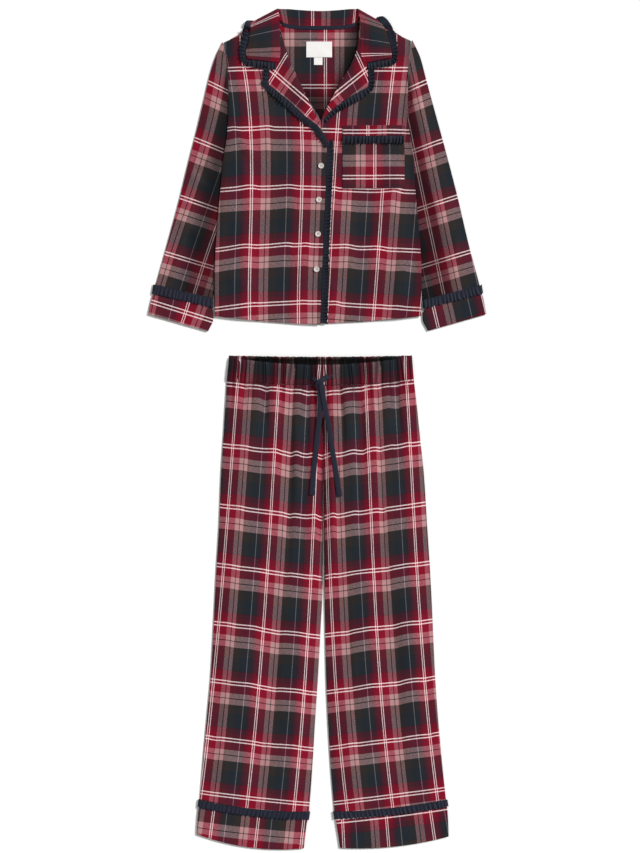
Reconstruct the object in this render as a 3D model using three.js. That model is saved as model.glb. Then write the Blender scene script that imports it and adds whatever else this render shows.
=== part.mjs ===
// Pyjama set laid flat: a shirt with a notched collar, and below it the gathered trousers.
// Millimetres, +Z up, the floor at z = 0. +Y runs from the leg hems to the collar, and the
// wearer's right is at -X. Every piece of cloth is a closed wall of one sewn piece.
import * as THREE from 'three';

const CLOTH = 1.3; // wall of one layer of flannel
const TRIM = 1.0; // wall of the thin woven ruffles, the tape and the labels
const SEAM = 0.3; // clearance between pieces that are sewn or lie together
const LAYER = CLOTH + SEAM;
const LAID_GAP = 0.5; // clearance of a flat piece that lies on a panel
const WAVE_STEPS = 4; // steps along one wave of a ruffle or gather

const SLEEVE_EDGE = 3.6; // height of a flattened sleeve near its folded edges
const SLEEVE_PUFF = 1.8; // how much higher the middle of a sleeve lies
const TUCK_LIFT = SLEEVE_EDGE + SEAM; // the shirt's sides lie on the sleeves' inner edges
const FALL_LIFT = LAYER; // the back lies on the part of the collar that is turned under
const SHIRT_LOFT = 1.3; // hollow between the shirt's front and back
const LEG_LOFT = 2.2; // hollow between a leg's front and back
const EDGE_ROUND = 2.2; // how far in from a folded edge its flat top begins
const UNDERSIDE_COLUMNS = 6; // steps across the flat underside of a tube

const CLOTH_COLOUR = '#6a1a2c';
const LINING_COLOUR = '#4d1724';
const NAVY = '#1c2238';
const LABEL_WHITE = '#e9e7e2';
const BUTTON_PEARL = '#b0a5a3';

const flannel = new THREE.MeshStandardMaterial({ color: CLOTH_COLOUR, roughness: 0.9, metalness: 0 });
const flannelBack = new THREE.MeshStandardMaterial({ color: LINING_COLOUR, roughness: 0.9, metalness: 0 });
const navyCotton = new THREE.MeshStandardMaterial({ color: NAVY, roughness: 0.8, metalness: 0 });
const labelSatin = new THREE.MeshStandardMaterial({ color: LABEL_WHITE, roughness: 0.5, metalness: 0 });
const buttonResin = new THREE.MeshStandardMaterial({ color: BUTTON_PEARL, roughness: 0.35, metalness: 0 });

const set = new THREE.Group();

// Small number helpers
const clamp01 = (value) => Math.min(1, Math.max(0, value));
const lerp = (from, to, share) => from + (to - from) * share;
const lerpPoint = (from, to, share) => from.map((value, axis) => lerp(value, to[axis], share));
const steps = (count) => Array.from({ length: count + 1 }, (_, index) => index / count);
const ramp = (value, low, high) => clamp01((value - low) / (high - low));
const waveAt = (waves, share) => Math.sin(2 * Math.PI * waves * share);

// Straight-line reading of one column of a table whose key column rises or falls steadily
function readColumn(table, key, column, value) {
  const rising = table[table.length - 1][key] > table[0][key];
  const rows = rising ? table : [...table].reverse();
  if (value <= rows[0][key]) return rows[0][column];
  for (let index = 1; index < rows.length; index += 1) {
    const low = rows[index - 1];
    const high = rows[index];
    if (value <= high[key]) {
      return lerp(low[column], high[column], (value - low[key]) / (high[key] - low[key]));
    }
  }
  return rows[rows.length - 1][column];
}

// Closed solid from triangles that may all be turned the wrong way round
function addSolid(name, points, triangles, material) {
  let volume = 0;
  for (const [a, b, c] of triangles) {
    const [ax, ay, az] = points[a];
    const [bx, by, bz] = points[b];
    const [cx, cy, cz] = points[c];
    volume += ax * (by * cz - bz * cy) + ay * (bz * cx - bx * cz) + az * (bx * cy - by * cx);
  }
  const outward = volume >= 0 ? triangles : triangles.map(([a, b, c]) => [a, c, b]);
  const geometry = new THREE.BufferGeometry();
  geometry.setAttribute('position', new THREE.Float32BufferAttribute(points.flat(), 3));
  geometry.setIndex(outward.flat());
  geometry.computeVertexNormals();
  const mesh = new THREE.Mesh(geometry, material);
  mesh.name = name;
  set.add(mesh);
  return mesh;
}

// Wall between an upper and a lower grid of points, rows by columns, closed all round its border
function addPanel(name, upper, lower, material) {
  const rowCount = upper.length;
  const columnCount = upper[0].length;
  const points = [...upper.flat(), ...lower.flat()];
  const top = (row, column) => row * columnCount + column;
  const bottom = (row, column) => rowCount * columnCount + top(row, column);
  const triangles = [];
  const quad = (a, b, c, d) => triangles.push([a, b, c], [a, c, d]);
  for (let row = 0; row + 1 < rowCount; row += 1) {
    for (let column = 0; column + 1 < columnCount; column += 1) {
      quad(top(row, column), top(row, column + 1), top(row + 1, column + 1), top(row + 1, column));
      quad(bottom(row, column), bottom(row + 1, column), bottom(row + 1, column + 1), bottom(row, column + 1));
    }
  }
  const lastRow = rowCount - 1;
  const lastColumn = columnCount - 1;
  for (let column = 0; column < lastColumn; column += 1) {
    quad(top(0, column + 1), top(0, column), bottom(0, column), bottom(0, column + 1));
    quad(top(lastRow, column), top(lastRow, column + 1), bottom(lastRow, column + 1), bottom(lastRow, column));
  }
  for (let row = 0; row < lastRow; row += 1) {
    quad(top(row, 0), top(row + 1, 0), bottom(row + 1, 0), bottom(row, 0));
    quad(top(row + 1, lastColumn), top(row, lastColumn), bottom(row, lastColumn), bottom(row + 1, lastColumn));
  }
  return addSolid(name, points, triangles, material);
}

// Wall of even thickness round a grid of middle points, for cloth that turns over on itself
function addBentPanel(name, middle, thickness, material) {
  const upper = [];
  const lower = [];
  middle.forEach((row, rowIndex) => {
    upper.push([]);
    lower.push([]);
    row.forEach((point, columnIndex) => {
      const before = middle[Math.max(0, rowIndex - 1)][columnIndex];
      const after = middle[Math.min(middle.length - 1, rowIndex + 1)][columnIndex];
      const inner = row[Math.max(0, columnIndex - 1)];
      const outer = row[Math.min(row.length - 1, columnIndex + 1)];
      const along = new THREE.Vector3(...after).sub(new THREE.Vector3(...before));
      const across = new THREE.Vector3(...outer).sub(new THREE.Vector3(...inner));
      const normal = across.cross(along).normalize().multiplyScalar(thickness / 2);
      upper[rowIndex].push([point[0] + normal.x, point[1] + normal.y, point[2] + normal.z]);
      lower[rowIndex].push([point[0] - normal.x, point[1] - normal.y, point[2] - normal.z]);
    });
  });
  return addPanel(name, upper, lower, material);
}

// Open tube between an outer and an inner loop of points at each station
function addTube(name, outer, inner, material) {
  const stationCount = outer.length;
  const loopCount = outer[0].length;
  const points = [...outer.flat(), ...inner.flat()];
  const out = (station, index) => station * loopCount + (index % loopCount);
  const into = (station, index) => stationCount * loopCount + out(station, index);
  const triangles = [];
  const quad = (a, b, c, d) => triangles.push([a, b, c], [a, c, d]);
  for (let index = 0; index < loopCount; index += 1) {
    const next = index + 1;
    for (let station = 0; station + 1 < stationCount; station += 1) {
      quad(out(station, index), out(station, next), out(station + 1, next), out(station + 1, index));
      quad(into(station, index), into(station + 1, index), into(station + 1, next), into(station, next));
    }
    const last = stationCount - 1;
    quad(out(0, next), out(0, index), into(0, index), into(0, next));
    quad(out(last, index), out(last, next), into(last, next), into(last, index));
  }
  return addSolid(name, points, triangles, material);
}

// Point on a section that runs from its outer to its inner end with a bow across its middle
function sectionPoint(section, share) {
  const [x, y] = lerpPoint(section.outer, section.inner, share);
  const length = Math.hypot(section.inner[0] - section.outer[0], section.inner[1] - section.outer[1]);
  const bow = (section.bow ?? 0) * 4 * share * (1 - share);
  const sideways = [
    -(section.inner[1] - section.outer[1]) / length,
    (section.inner[0] - section.outer[0]) / length,
  ];
  return [x + sideways[0] * bow, y + sideways[1] * bow];
}

// Loops of a flattened tube across one section: its top, folded edges and flat underside
function flatTubeLoops(section, columns, wall, topAt) {
  const length = Math.hypot(section.inner[0] - section.outer[0], section.inner[1] - section.outer[1]);
  const floor = section.floor ?? 0;
  const outer = [];
  const inner = [];
  const add = (inset, insetWithin, height, heightWithin) => {
    outer.push([...sectionPoint(section, inset / length), height]);
    inner.push([...sectionPoint(section, insetWithin / length), heightWithin]);
  };
  const spread = (share) => lerp(EDGE_ROUND, length - EDGE_ROUND, share);
  const spreadWithin = (share) => lerp(EDGE_ROUND + SEAM, length - EDGE_ROUND - SEAM, share);
  const edgeMiddle = (floor + topAt(section, 0)) / 2;
  add(0, wall, edgeMiddle, edgeMiddle);
  for (const share of steps(columns)) {
    const height = topAt(section, share);
    add(spread(share), spreadWithin(share), height, height - wall);
  }
  const farMiddle = (floor + topAt(section, 1)) / 2;
  add(length, length - wall, farMiddle, farMiddle);
  for (const share of steps(UNDERSIDE_COLUMNS).reverse()) {
    add(spread(share), spreadWithin(share), floor, floor + wall);
  }
  return { outer, inner };
}

function addFlatTube(name, sections, columns, wall, topAt, material) {
  const loops = sections.map((section) => flatTubeLoops(section, columns, wall, topAt));
  addTube(name, loops.map((loop) => loop.outer), loops.map((loop) => loop.inner), material);
}

// Shirt body: side edges from hem to shoulder, and where each front ends at the centre
const RIGHT_FRONT = [
  { outer: [-215, 237], inner: [6, 219], bow: -3 },
  { outer: [-217, 300], inner: [9, 300] },
  { outer: [-213, 382], inner: [12, 382] },
  { outer: [-208, 450], inner: [15, 452] },
  { outer: [-203, 505], inner: [18, 520] },
  { outer: [-198, 560], inner: [20, 590] },
  { outer: [-190, 612], inner: [7, 646] },
  { outer: [-187, 655], inner: [-20, 693] },
  { outer: [-186.5, 684], inner: [-38, 731] },
  { outer: [-186, 704], inner: [-52, 758] },
  { outer: [-188, 750], inner: [-66, 798] },
  { outer: [-195, 812], inner: [-84, 860] },
];
const LEFT_FRONT = [
  { outer: [218, 237], inner: [-16, 221], bow: 3 },
  { outer: [219, 300], inner: [-14, 300] },
  { outer: [216, 384], inner: [-12, 382] },
  { outer: [211, 440], inner: [-9, 452] },
  { outer: [206, 498], inner: [-6, 520] },
  { outer: [202, 560], inner: [-4, 590] },
  { outer: [194, 620], inner: [4, 640] },
  { outer: [190, 660], inner: [36, 702] },
  { outer: [190, 690], inner: [53, 735] },
  { outer: [190, 714], inner: [68, 760] },
  { outer: [191, 756], inner: [84, 798] },
  { outer: [196, 815], inner: [90, 863] },
];
const ARMHOLE_ROW = 7; // the back's sections are simple bows below this one
// Rise of the back's sections over a straight line, so that the last one is the shoulders and neck
const BACK_RISE = [-14, -4, 0, 0, 0, 0, 0, 2, 6, 14, 50, 52];
const NECK_SHAPE = [
  { x: -194, rise: 0 },
  { x: -94, rise: 0.92 },
  { x: -72, rise: 0.63 },
  { x: -35, rise: 0.53 },
  { x: 50, rise: 0.52 },
  { x: 76, rise: 0.62 },
  { x: 96, rise: 0.92 },
  { x: 194, rise: 0 },
];
const EDGE_COLUMNS = [0, 8, 40, 70, 100]; // distances in from the side edge
const FRONT_INNER_COLUMNS = 4;
const BACK_MIDDLE_COLUMNS = [-72, -35, 6, 50, 76]; // where the neckline's curve is read
const TUCK_COLUMN = 40;
const TUCK_END = 100;
const TUCK_TOP = 655; // the sleeve heads are beside the armholes above this height
const TUCK_GONE = 745;
const FALL_START = 742; // the back begins to rise over the turned-under collar here
const FALL_FULL = 790;
const OVERLAP_START = -80; // the right front rises over the left one between these
const OVERLAP_FULL = -24;

const edgePoints = (sections) => sections.map((section) => ({ y: section.outer[1], x: section.outer[0] }));
const rightEdge = edgePoints(RIGHT_FRONT);
const leftEdge = edgePoints(LEFT_FRONT);

function edgeDistance(x, y) {
  const fromRight = x - readColumn(rightEdge, 'y', 'x', y);
  const fromLeft = readColumn(leftEdge, 'y', 'x', y) - x;
  return Math.max(0, Math.min(fromRight, fromLeft));
}

function backFloor(x, y) {
  const distance = edgeDistance(x, y);
  const tuck = (1 - ramp(distance, TUCK_COLUMN, TUCK_END)) * (1 - ramp(y, TUCK_TOP, TUCK_GONE));
  const fall = ramp(distance, EDGE_COLUMNS[1], TUCK_COLUMN) * ramp(y, FALL_START, FALL_FULL);
  return TUCK_LIFT * tuck + FALL_LIFT * fall;
}

const backTop = (x, y) => backFloor(x, y) + CLOTH;
const loftAt = (x, y) => SHIRT_LOFT * ramp(edgeDistance(x, y), 0, EDGE_COLUMNS[3]);
const leftFrontTop = (x, y) => backTop(x, y) + LAYER + loftAt(x, y);
const rightFrontTop = (x, y) => leftFrontTop(x, y) + LAYER * ramp(x, OVERLAP_START, OVERLAP_FULL);

// Sheet of a panel from plan points and the height of its upper face
function addSheet(name, plan, thickness, topAt, material) {
  const upper = plan.map((row) => row.map(([x, y]) => [x, y, topAt(x, y)]));
  const lower = upper.map((row) => row.map(([x, y, z]) => [x, y, z - thickness]));
  return addPanel(name, upper, lower, material);
}

function sectionPlan(sections, columns) {
  return sections.map((section) => steps(columns).map((share) => sectionPoint(section, share)));
}

function frontPlan(sections, innerColumns) {
  return sections.map((section) => {
    const length = Math.abs(section.inner[0] - section.outer[0]);
    const fixed = EDGE_COLUMNS.map((distance) => distance / length);
    const last = fixed[fixed.length - 1];
    const shares = [...fixed, ...steps(innerColumns).slice(1).map((share) => lerp(last, 1, share))];
    return shares.map((share) => sectionPoint(section, share));
  });
}

function backPlan() {
  return RIGHT_FRONT.map((right, row) => {
    const from = right.outer;
    const to = LEFT_FRONT[row].outer;
    const xs = [
      ...EDGE_COLUMNS.map((distance) => from[0] + distance),
      ...BACK_MIDDLE_COLUMNS,
      ...[...EDGE_COLUMNS].reverse().map((distance) => to[0] - distance),
    ];
    return xs.map((x) => {
      const share = (x - from[0]) / (to[0] - from[0]);
      const shape = row < ARMHOLE_ROW ? 4 * share * (1 - share) : readColumn(NECK_SHAPE, 'x', 'rise', x);
      return [x, lerp(from[1], to[1], share) + BACK_RISE[row] * shape];
    });
  });
}

function addShirtBody() {
  addSheet('shirt_back', backPlan(), CLOTH, backTop, flannelBack);
  const left = frontPlan(LEFT_FRONT, FRONT_INNER_COLUMNS);
  const right = frontPlan(RIGHT_FRONT, FRONT_INNER_COLUMNS);
  addSheet('shirt_front_left', left, CLOTH, leftFrontTop, flannel);
  addSheet('shirt_front_right', right, CLOTH, rightFrontTop, flannel);
}

// Sleeves: sections fan out from the armhole to the cuff seam; the inner ends lie under the body
const RIGHT_SLEEVE = [
  { outer: [-198.5, 813], inner: [-188.5, 660], bow: 5.2 },
  { outer: [-213, 783], inner: [-180, 634] },
  { outer: [-225, 746], inner: [-168, 604] },
  { outer: [-238, 691], inner: [-174, 560] },
  { outer: [-252, 632], inner: [-182, 510] },
  { outer: [-270, 562], inner: [-190, 455] },
  { outer: [-290, 480], inner: [-199, 398] },
  { outer: [-313, 395], inner: [-209, 340] },
  { outer: [-339, 302], inner: [-219, 274] },
];
const LEFT_SLEEVE = [
  { outer: [200, 816], inner: [192, 664], bow: -3.8 },
  { outer: [216, 781], inner: [184, 634] },
  { outer: [228, 737], inner: [172, 602] },
  { outer: [241, 689], inner: [177, 558] },
  { outer: [256, 634], inner: [185, 508] },
  { outer: [275, 564], inner: [193, 453] },
  { outer: [294.5, 488], inner: [202, 396] },
  { outer: [316, 396], inner: [211, 337] },
  { outer: [341, 301], inner: [221, 270] },
];
const SLEEVE_COLUMNS = 7;
const PUFF_RISEN = 0.25; // a sleeve is fullest between these parts of its width
const PUFF_END = 0.4;
const PUFF_GONE = 0.62; // and is flat from here to its inner edge
const CUFF_COLUMNS = 6;
const CUFF_FLOOR = TRIM + SEAM; // a cuff starts inside its ruffle and then comes down to the floor
const CUFF_START_TOP = 4.0;
const CUFF_TOP = 4.8;
const SLEEVE_RUFFLE_WAVES = 8;
const LEG_RUFFLE_WAVES = 14;
const RUFFLE_WAVE = 0.7;

const RIGHT_CUFF = [
  { outer: [-340.5, 301.9], inner: [-222.5, 274.3], floor: CUFF_FLOOR, top: CUFF_START_TOP },
  { outer: [-344, 284], inner: [-222, 256], floor: CUFF_FLOOR, top: CUFF_START_TOP },
  { outer: [-347, 276], inner: [-219, 247], floor: 0, top: CUFF_TOP },
  { outer: [-351, 260], inner: [-218, 232], floor: 0, top: CUFF_TOP },
  { outer: [-355, 241], inner: [-229, 205], floor: 0, top: CUFF_TOP },
];
const LEFT_CUFF = [
  { outer: [342, 300.8], inner: [225, 270.5], floor: CUFF_FLOOR, top: CUFF_START_TOP },
  { outer: [345, 284], inner: [225, 253], floor: CUFF_FLOOR, top: CUFF_START_TOP },
  { outer: [348, 276], inner: [222, 243], floor: 0, top: CUFF_TOP },
  { outer: [351, 261], inner: [221, 231], floor: 0, top: CUFF_TOP },
  { outer: [355, 241], inner: [232, 206], floor: 0, top: CUFF_TOP },
];
const RIGHT_SLEEVE_RUFFLE = [
  { outer: [-344, 302.7], inner: [-219, 273.5], floor: 0, wave: 0.2 },
  { outer: [-347.5, 284], inner: [-218.5, 254.5], floor: 0, wave: 1 },
];
const LEFT_SLEEVE_RUFFLE = [
  { outer: [345.5, 301.7], inner: [221.5, 269.6], floor: 0, wave: 0.2 },
  { outer: [348.5, 284], inner: [221.5, 252], floor: 0, wave: 1 },
];

// The underarm edge lies flat beneath the body, and the free part of the sleeve is fuller
function sleeveTop(section, share) {
  return SLEEVE_EDGE + SLEEVE_PUFF * ramp(share, 0, PUFF_RISEN) * (1 - ramp(share, PUFF_END, PUFF_GONE));
}

const cuffTop = (section) => section.top;

// A ruffle ring is flat beneath and waves on top
function ringTop(waves, height) {
  return (section, share) => height + RUFFLE_WAVE * section.wave * (1 + waveAt(waves, share));
}

const RING_HEIGHT = CUFF_START_TOP + SEAM + TRIM;

function addSleeves() {
  addFlatTube('sleeve_right', RIGHT_SLEEVE, SLEEVE_COLUMNS, CLOTH, sleeveTop, flannel);
  addFlatTube('sleeve_left', LEFT_SLEEVE, SLEEVE_COLUMNS, CLOTH, sleeveTop, flannel);
  addFlatTube('sleeve_cuff_right', RIGHT_CUFF, CUFF_COLUMNS, TRIM, cuffTop, flannel);
  addFlatTube('sleeve_cuff_left', LEFT_CUFF, CUFF_COLUMNS, TRIM, cuffTop, flannel);
  const ruffleColumns = SLEEVE_RUFFLE_WAVES * WAVE_STEPS;
  const top = ringTop(SLEEVE_RUFFLE_WAVES, RING_HEIGHT);
  addFlatTube('sleeve_ruffle_right', RIGHT_SLEEVE_RUFFLE, ruffleColumns, TRIM, top, navyCotton);
  addFlatTube('sleeve_ruffle_left', LEFT_SLEEVE_RUFFLE, ruffleColumns, TRIM, top, navyCotton);
}

// Collar stations from the wearer's right front, round the back neck, to the left front.
// seam is the neck seam, fold the roll of the collar and edge its outer edge; the fall is under
// the back, wraps over each shoulder and comes out on top of the fronts.
const UNDER = CLOTH / 2; // middle of a wall that lies on the floor
const STAND = UNDER + LAYER;
const WRAP = 3.85; // middle height of the fall where it goes round the shoulder
const OVER = 7.3; // and where it lies on the front beside the neck
const COLLAR_STATIONS = [
  { seam: [-80, 768], fold: [-82.5, 768], edge: [-148, 777], on: 'front' },
  { seam: [-77, 792], fold: [-79.5, 792], edge: [-149, 790], on: 'front' },
  { seam: [-78, 820], fold: [-80.5, 820], edge: [-145, 812], on: 'front' },
  { seam: [-79, 848], fold: [-81.5, 848], edge: [-142, 830], on: 'front' },
  { seam: [-80, 866], fold: [-82.5, 867], edge: [-140, 843], fall: OVER, stand: OVER },
  { seam: [-79, 862], fold: [-82, 879], edge: [-140.4, 848.4], fall: OVER - 0.9, stand: 5.2 },
  { seam: [-78.5, 858], fold: [-83.5, 882], edge: [-142, 851.5], fall: WRAP, stand: WRAP - 0.4 },
  { seam: [-76, 856], fold: [-81.5, 881.5], edge: [-140.4, 848.4], fall: UNDER + 0.9, stand: 2.7 },
  { seam: [-71, 852], fold: [-78, 881.3], edge: [-138, 845], fall: UNDER, stand: STAND },
  { seam: [-58, 846], fold: [-62, 881], edge: [-92, 818], fall: UNDER, stand: STAND },
  { seam: [-35, 843], fold: [-36, 879], edge: [-46, 812], fall: UNDER, stand: STAND },
  { seam: [6, 842], fold: [6, 877], edge: [6, 811], fall: UNDER, stand: STAND },
  { seam: [45, 842], fold: [46, 879], edge: [56, 812], fall: UNDER, stand: STAND },
  { seam: [66, 846], fold: [68, 881], edge: [96, 819], fall: UNDER, stand: STAND },
  { seam: [78, 852], fold: [81, 881.4], edge: [124.5, 852.5], fall: UNDER, stand: STAND },
  { seam: [82, 856], fold: [83.5, 881.6], edge: [126.2, 855.5], fall: UNDER + 0.9, stand: 2.7 },
  { seam: [84.5, 858], fold: [85.5, 881.9], edge: [128, 858.5], fall: WRAP, stand: WRAP - 0.4 },
  { seam: [85.5, 862], fold: [86, 879], edge: [129, 853.5], fall: OVER - 0.9, stand: 5.2 },
  { seam: [88, 866], fold: [90.5, 867], edge: [136, 849], fall: OVER, stand: OVER },
  { seam: [91, 848], fold: [93.5, 848], edge: [145, 833], on: 'front' },
  { seam: [91, 820], fold: [93.5, 820], edge: [152, 810], on: 'front' },
  { seam: [90, 796], fold: [92.5, 796], edge: [156, 792], on: 'front' },
  { seam: [97, 767], fold: [99.5, 767], edge: [157, 779], on: 'front' },
];
const FOLD_REACH = 2.0; // flat start of the stand and the fall beside the fold
const FOLD_SHARE = 0.45; // but no more than this part of a narrow stand
const FALL_COLUMNS = 4;
const STAND_COLUMNS = 4;
const FRONT_FOLD_SHARE = 0.12; // on the fronts the stand narrows to this part of the collar's width

const fallOver = (x, y) => (x < 0 ? rightFrontTop(x, y) : leftFrontTop(x, y)) + 2 * LAID_GAP + CLOTH + UNDER;

function collarRow(station) {
  const { seam, fold, edge } = station;
  if (station.on === 'front') {
    const nearFold = steps(STAND_COLUMNS).map((step) => step * FRONT_FOLD_SHARE);
    const onFall = steps(FALL_COLUMNS).slice(1).map((step) => lerp(FRONT_FOLD_SHARE, 1, step));
    return [...nearFold, ...onFall].map((share) => {
      const [x, y] = lerpPoint(seam, edge, share);
      return [x, y, fallOver(x, y)];
    });
  }
  const nearBy = (target) => {
    const length = Math.hypot(target[0] - fold[0], target[1] - fold[1]);
    return lerpPoint(fold, target, Math.min(FOLD_SHARE, FOLD_REACH / length));
  };
  const standStart = nearBy(seam);
  const fallStart = nearBy(edge);
  const row = [
    [...seam, station.stand],
    [...lerpPoint(seam, standStart, 0.5), station.stand],
    [...standStart, station.stand],
    [...fold, (station.stand + station.fall) / 2],
    [...fallStart, station.fall],
  ];
  for (const share of steps(FALL_COLUMNS).slice(1)) {
    row.push([...lerpPoint(fallStart, edge, share), station.fall]);
  }
  return row;
}

// The tape covers the seam between the stand and the back
const NECK_TAPE = [
  { outer: [-73, 853], inner: [-72, 845] },
  { outer: [-57, 849], inner: [-57, 841] },
  { outer: [-35, 846.5], inner: [-35, 838.5] },
  { outer: [6, 846], inner: [6, 838] },
  { outer: [48, 846.5], inner: [48, 838.5] },
  { outer: [66, 849], inner: [66, 841] },
  { outer: [80, 853], inner: [79, 845] },
];
const TAPE_TOP = STAND + UNDER + SEAM + TRIM;

function addCollar() {
  addBentPanel('collar', COLLAR_STATIONS.map(collarRow), CLOTH, flannel);
  addSheet('neck_tape', sectionPlan(NECK_TAPE, 1), TRIM, () => TAPE_TOP, navyCotton);
}

// Lapels: the fronts' facings turned out; outer is the roll edge and inner the lapel's outer edge
const RIGHT_LAPEL = [
  { outer: [-80, 836], inner: [-96, 832] },
  { outer: [-72, 813], inner: [-96, 800] },
  { outer: [-58, 772], inner: [-100, 752] },
  { outer: [-48, 752], inner: [-102, 726] },
  { outer: [-38, 731], inner: [-84, 709] },
  { outer: [-20, 693], inner: [-56, 685] },
  { outer: [-6, 662], inner: [-24, 655] },
  { outer: [6, 640], inner: [-2, 638] },
  { outer: [12.5, 618], inner: [8, 617] },
  { outer: [16, 604], inner: [13.4, 603.5] },
];
const LEFT_LAPEL = [
  { outer: [88, 836], inner: [104, 832] },
  { outer: [84, 800], inner: [106, 790] },
  { outer: [71, 766], inner: [106, 748] },
  { outer: [57, 740], inner: [107, 722] },
  { outer: [46, 722], inner: [80, 704] },
  { outer: [36, 704], inner: [58, 691] },
  { outer: [18, 670], inner: [27, 666] },
  { outer: [9.5, 653], inner: [13, 651] },
];
const LAPEL_COLUMNS = 3;
const onRight = (x, y) => rightFrontTop(x, y) + LAID_GAP + CLOTH;
const onLeft = (x, y) => leftFrontTop(x, y) + LAID_GAP + CLOTH;

function addLapels() {
  addSheet('lapel_right', sectionPlan(RIGHT_LAPEL, LAPEL_COLUMNS), CLOTH, onRight, flannel);
  addSheet('lapel_left', sectionPlan(LEFT_LAPEL, LAPEL_COLUMNS), CLOTH, onLeft, flannel);
}

// Gathered strips: sewn is the edge that is stitched in, free the wavy edge, and waves counts
// the waves from the row before to this one
const COLLAR_RUFFLE = [
  { sewn: [-86, 767.6], free: [-88, 752], on: 'front', waves: 0 },
  { sewn: [-120, 772.2], free: [-122, 756], on: 'front', waves: 3 },
  { sewn: [-146, 774.8], free: [-150, 763], on: 'front', waves: 3 },
  { sewn: [-150, 777.5], free: [-163, 777], on: 'front', waves: 2 },
  { sewn: [-150.2, 792], free: [-164, 796], on: 'front', waves: 2 },
  { sewn: [-145.8, 812], free: [-160, 817], on: 'front', waves: 2 },
  { sewn: [-142.8, 830], free: [-156, 838], on: 'front', waves: 2 },
  { sewn: [-141.2, 843.6], free: [-151, 851], height: OVER, waves: 1 },
  { sewn: [-141.4, 849.2], free: [-148, 855], height: OVER - 0.9, waves: 0 },
  { sewn: [-143, 852.5], free: [-149, 858], height: WRAP, waves: 0 },
  { sewn: [-141.4, 848.8], free: [-148, 854], height: UNDER + 0.9, waves: 0 },
  { sewn: [-139, 844.6], free: [-148, 846], height: UNDER, waves: 0 },
  { sewn: [-117, 831], free: [-124, 820], height: UNDER, waves: 0 },
  { sewn: [-92.5, 817.2], free: [-97, 805], height: UNDER, waves: 0 },
  { sewn: [-46, 811.2], free: [-48, 798], height: UNDER, waves: 0 },
  { sewn: [6, 810.2], free: [6, 797], height: UNDER, waves: 0 },
  { sewn: [56, 811.2], free: [58, 798], height: UNDER, waves: 0 },
  { sewn: [96.5, 818.2], free: [101, 806], height: UNDER, waves: 0 },
  { sewn: [125.4, 851.6], free: [134, 850], height: UNDER, waves: 0 },
  { sewn: [127.4, 855.8], free: [135, 859], height: UNDER + 0.9, waves: 0 },
  { sewn: [129.2, 859.4], free: [137, 866], height: WRAP, waves: 0 },
  { sewn: [130.4, 854.4], free: [141, 861], height: OVER - 0.9, waves: 0 },
  { sewn: [137, 849.8], free: [150, 855], height: OVER, waves: 1 },
  { sewn: [146, 833.3], free: [160, 839], on: 'front', waves: 2 },
  { sewn: [152.8, 810.3], free: [167, 814], on: 'front', waves: 2 },
  { sewn: [156.8, 792.3], free: [169, 792], on: 'front', waves: 2 },
  { sewn: [158.8, 780.4], free: [167, 770], on: 'front', waves: 2 },
  { sewn: [153, 775.6], free: [154, 762], on: 'front', waves: 2 },
  { sewn: [125, 771], free: [127, 757], on: 'front', waves: 2 },
  { sewn: [103, 767], free: [104, 754], on: 'front', waves: 2 },
];
const RIGHT_LAPEL_RUFFLE = [
  { sewn: [-101.8, 744], free: [-114, 745], waves: 0 },
  { sewn: [-103.2, 725], free: [-116, 722], waves: 3 },
  { sewn: [-99, 719], free: [-105, 708], waves: 2 },
  { sewn: [-84.5, 708.2], free: [-86, 692], waves: 2 },
  { sewn: [-56.5, 684.2], free: [-62, 671], waves: 3 },
  { sewn: [-24.5, 654.2], free: [-32, 643], waves: 3 },
  { sewn: [-2.8, 637], free: [-12, 627], waves: 2 },
  { sewn: [7.2, 616.6], free: [-3, 612], waves: 1 },
  { sewn: [13.2, 602.6], free: [4, 598], waves: 1 },
  { sewn: [16.6, 592], free: [9, 589], waves: 1 },
];
const LEFT_LAPEL_RUFFLE = [
  { sewn: [107.5, 744], free: [121, 747], waves: 0 },
  { sewn: [108, 722], free: [120, 718], waves: 2 },
  { sewn: [104, 717], free: [109, 704], waves: 1 },
  { sewn: [80.5, 703.2], free: [84, 686], waves: 3 },
  { sewn: [58.5, 690.2], free: [62, 675], waves: 2 },
  { sewn: [27.5, 665.2], free: [33, 657], waves: 2 },
  { sewn: [13.6, 649.8], free: [19, 643], waves: 1 },
];
const FRONT_RUFFLE = [
  { sewn: [20.4, 592], free: [34, 598], waves: 0 },
  { sewn: [18.6, 520], free: [32, 520], waves: 3 },
  { sewn: [15.6, 452], free: [29, 452], waves: 3 },
  { sewn: [12.6, 382], free: [26, 382], waves: 3 },
  { sewn: [9.6, 300], free: [24, 300], waves: 3 },
  { sewn: [6.8, 222], free: [22, 219], waves: 3 },
];
const POCKET_RUFFLE = [
  { sewn: [53.5, 614.5], free: [53.5, 598], waves: 0 },
  { sewn: [183, 614.5], free: [183, 598], waves: 8 },
];

// Middle surface of a ruffle: stations along it, each from the sewn to the free edge
function ruffleRows(table, heightAt) {
  const rows = [ruffleRow(table[0], 0, heightAt)];
  let phase = 0;
  table.slice(1).forEach((station, index) => {
    const before = table[index];
    const count = Math.max(1, station.waves * WAVE_STEPS);
    for (const share of steps(count).slice(1)) {
      const between = {
        sewn: lerpPoint(before.sewn, station.sewn, share),
        free: lerpPoint(before.free, station.free, share),
        on: before.on === 'front' && station.on === 'front' ? 'front' : station.on,
        height: lerp(before.height ?? station.height ?? 0, station.height ?? 0, share),
      };
      rows.push(ruffleRow(between, phase + station.waves * share, heightAt));
    }
    phase += station.waves;
  });
  return rows;
}

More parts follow.
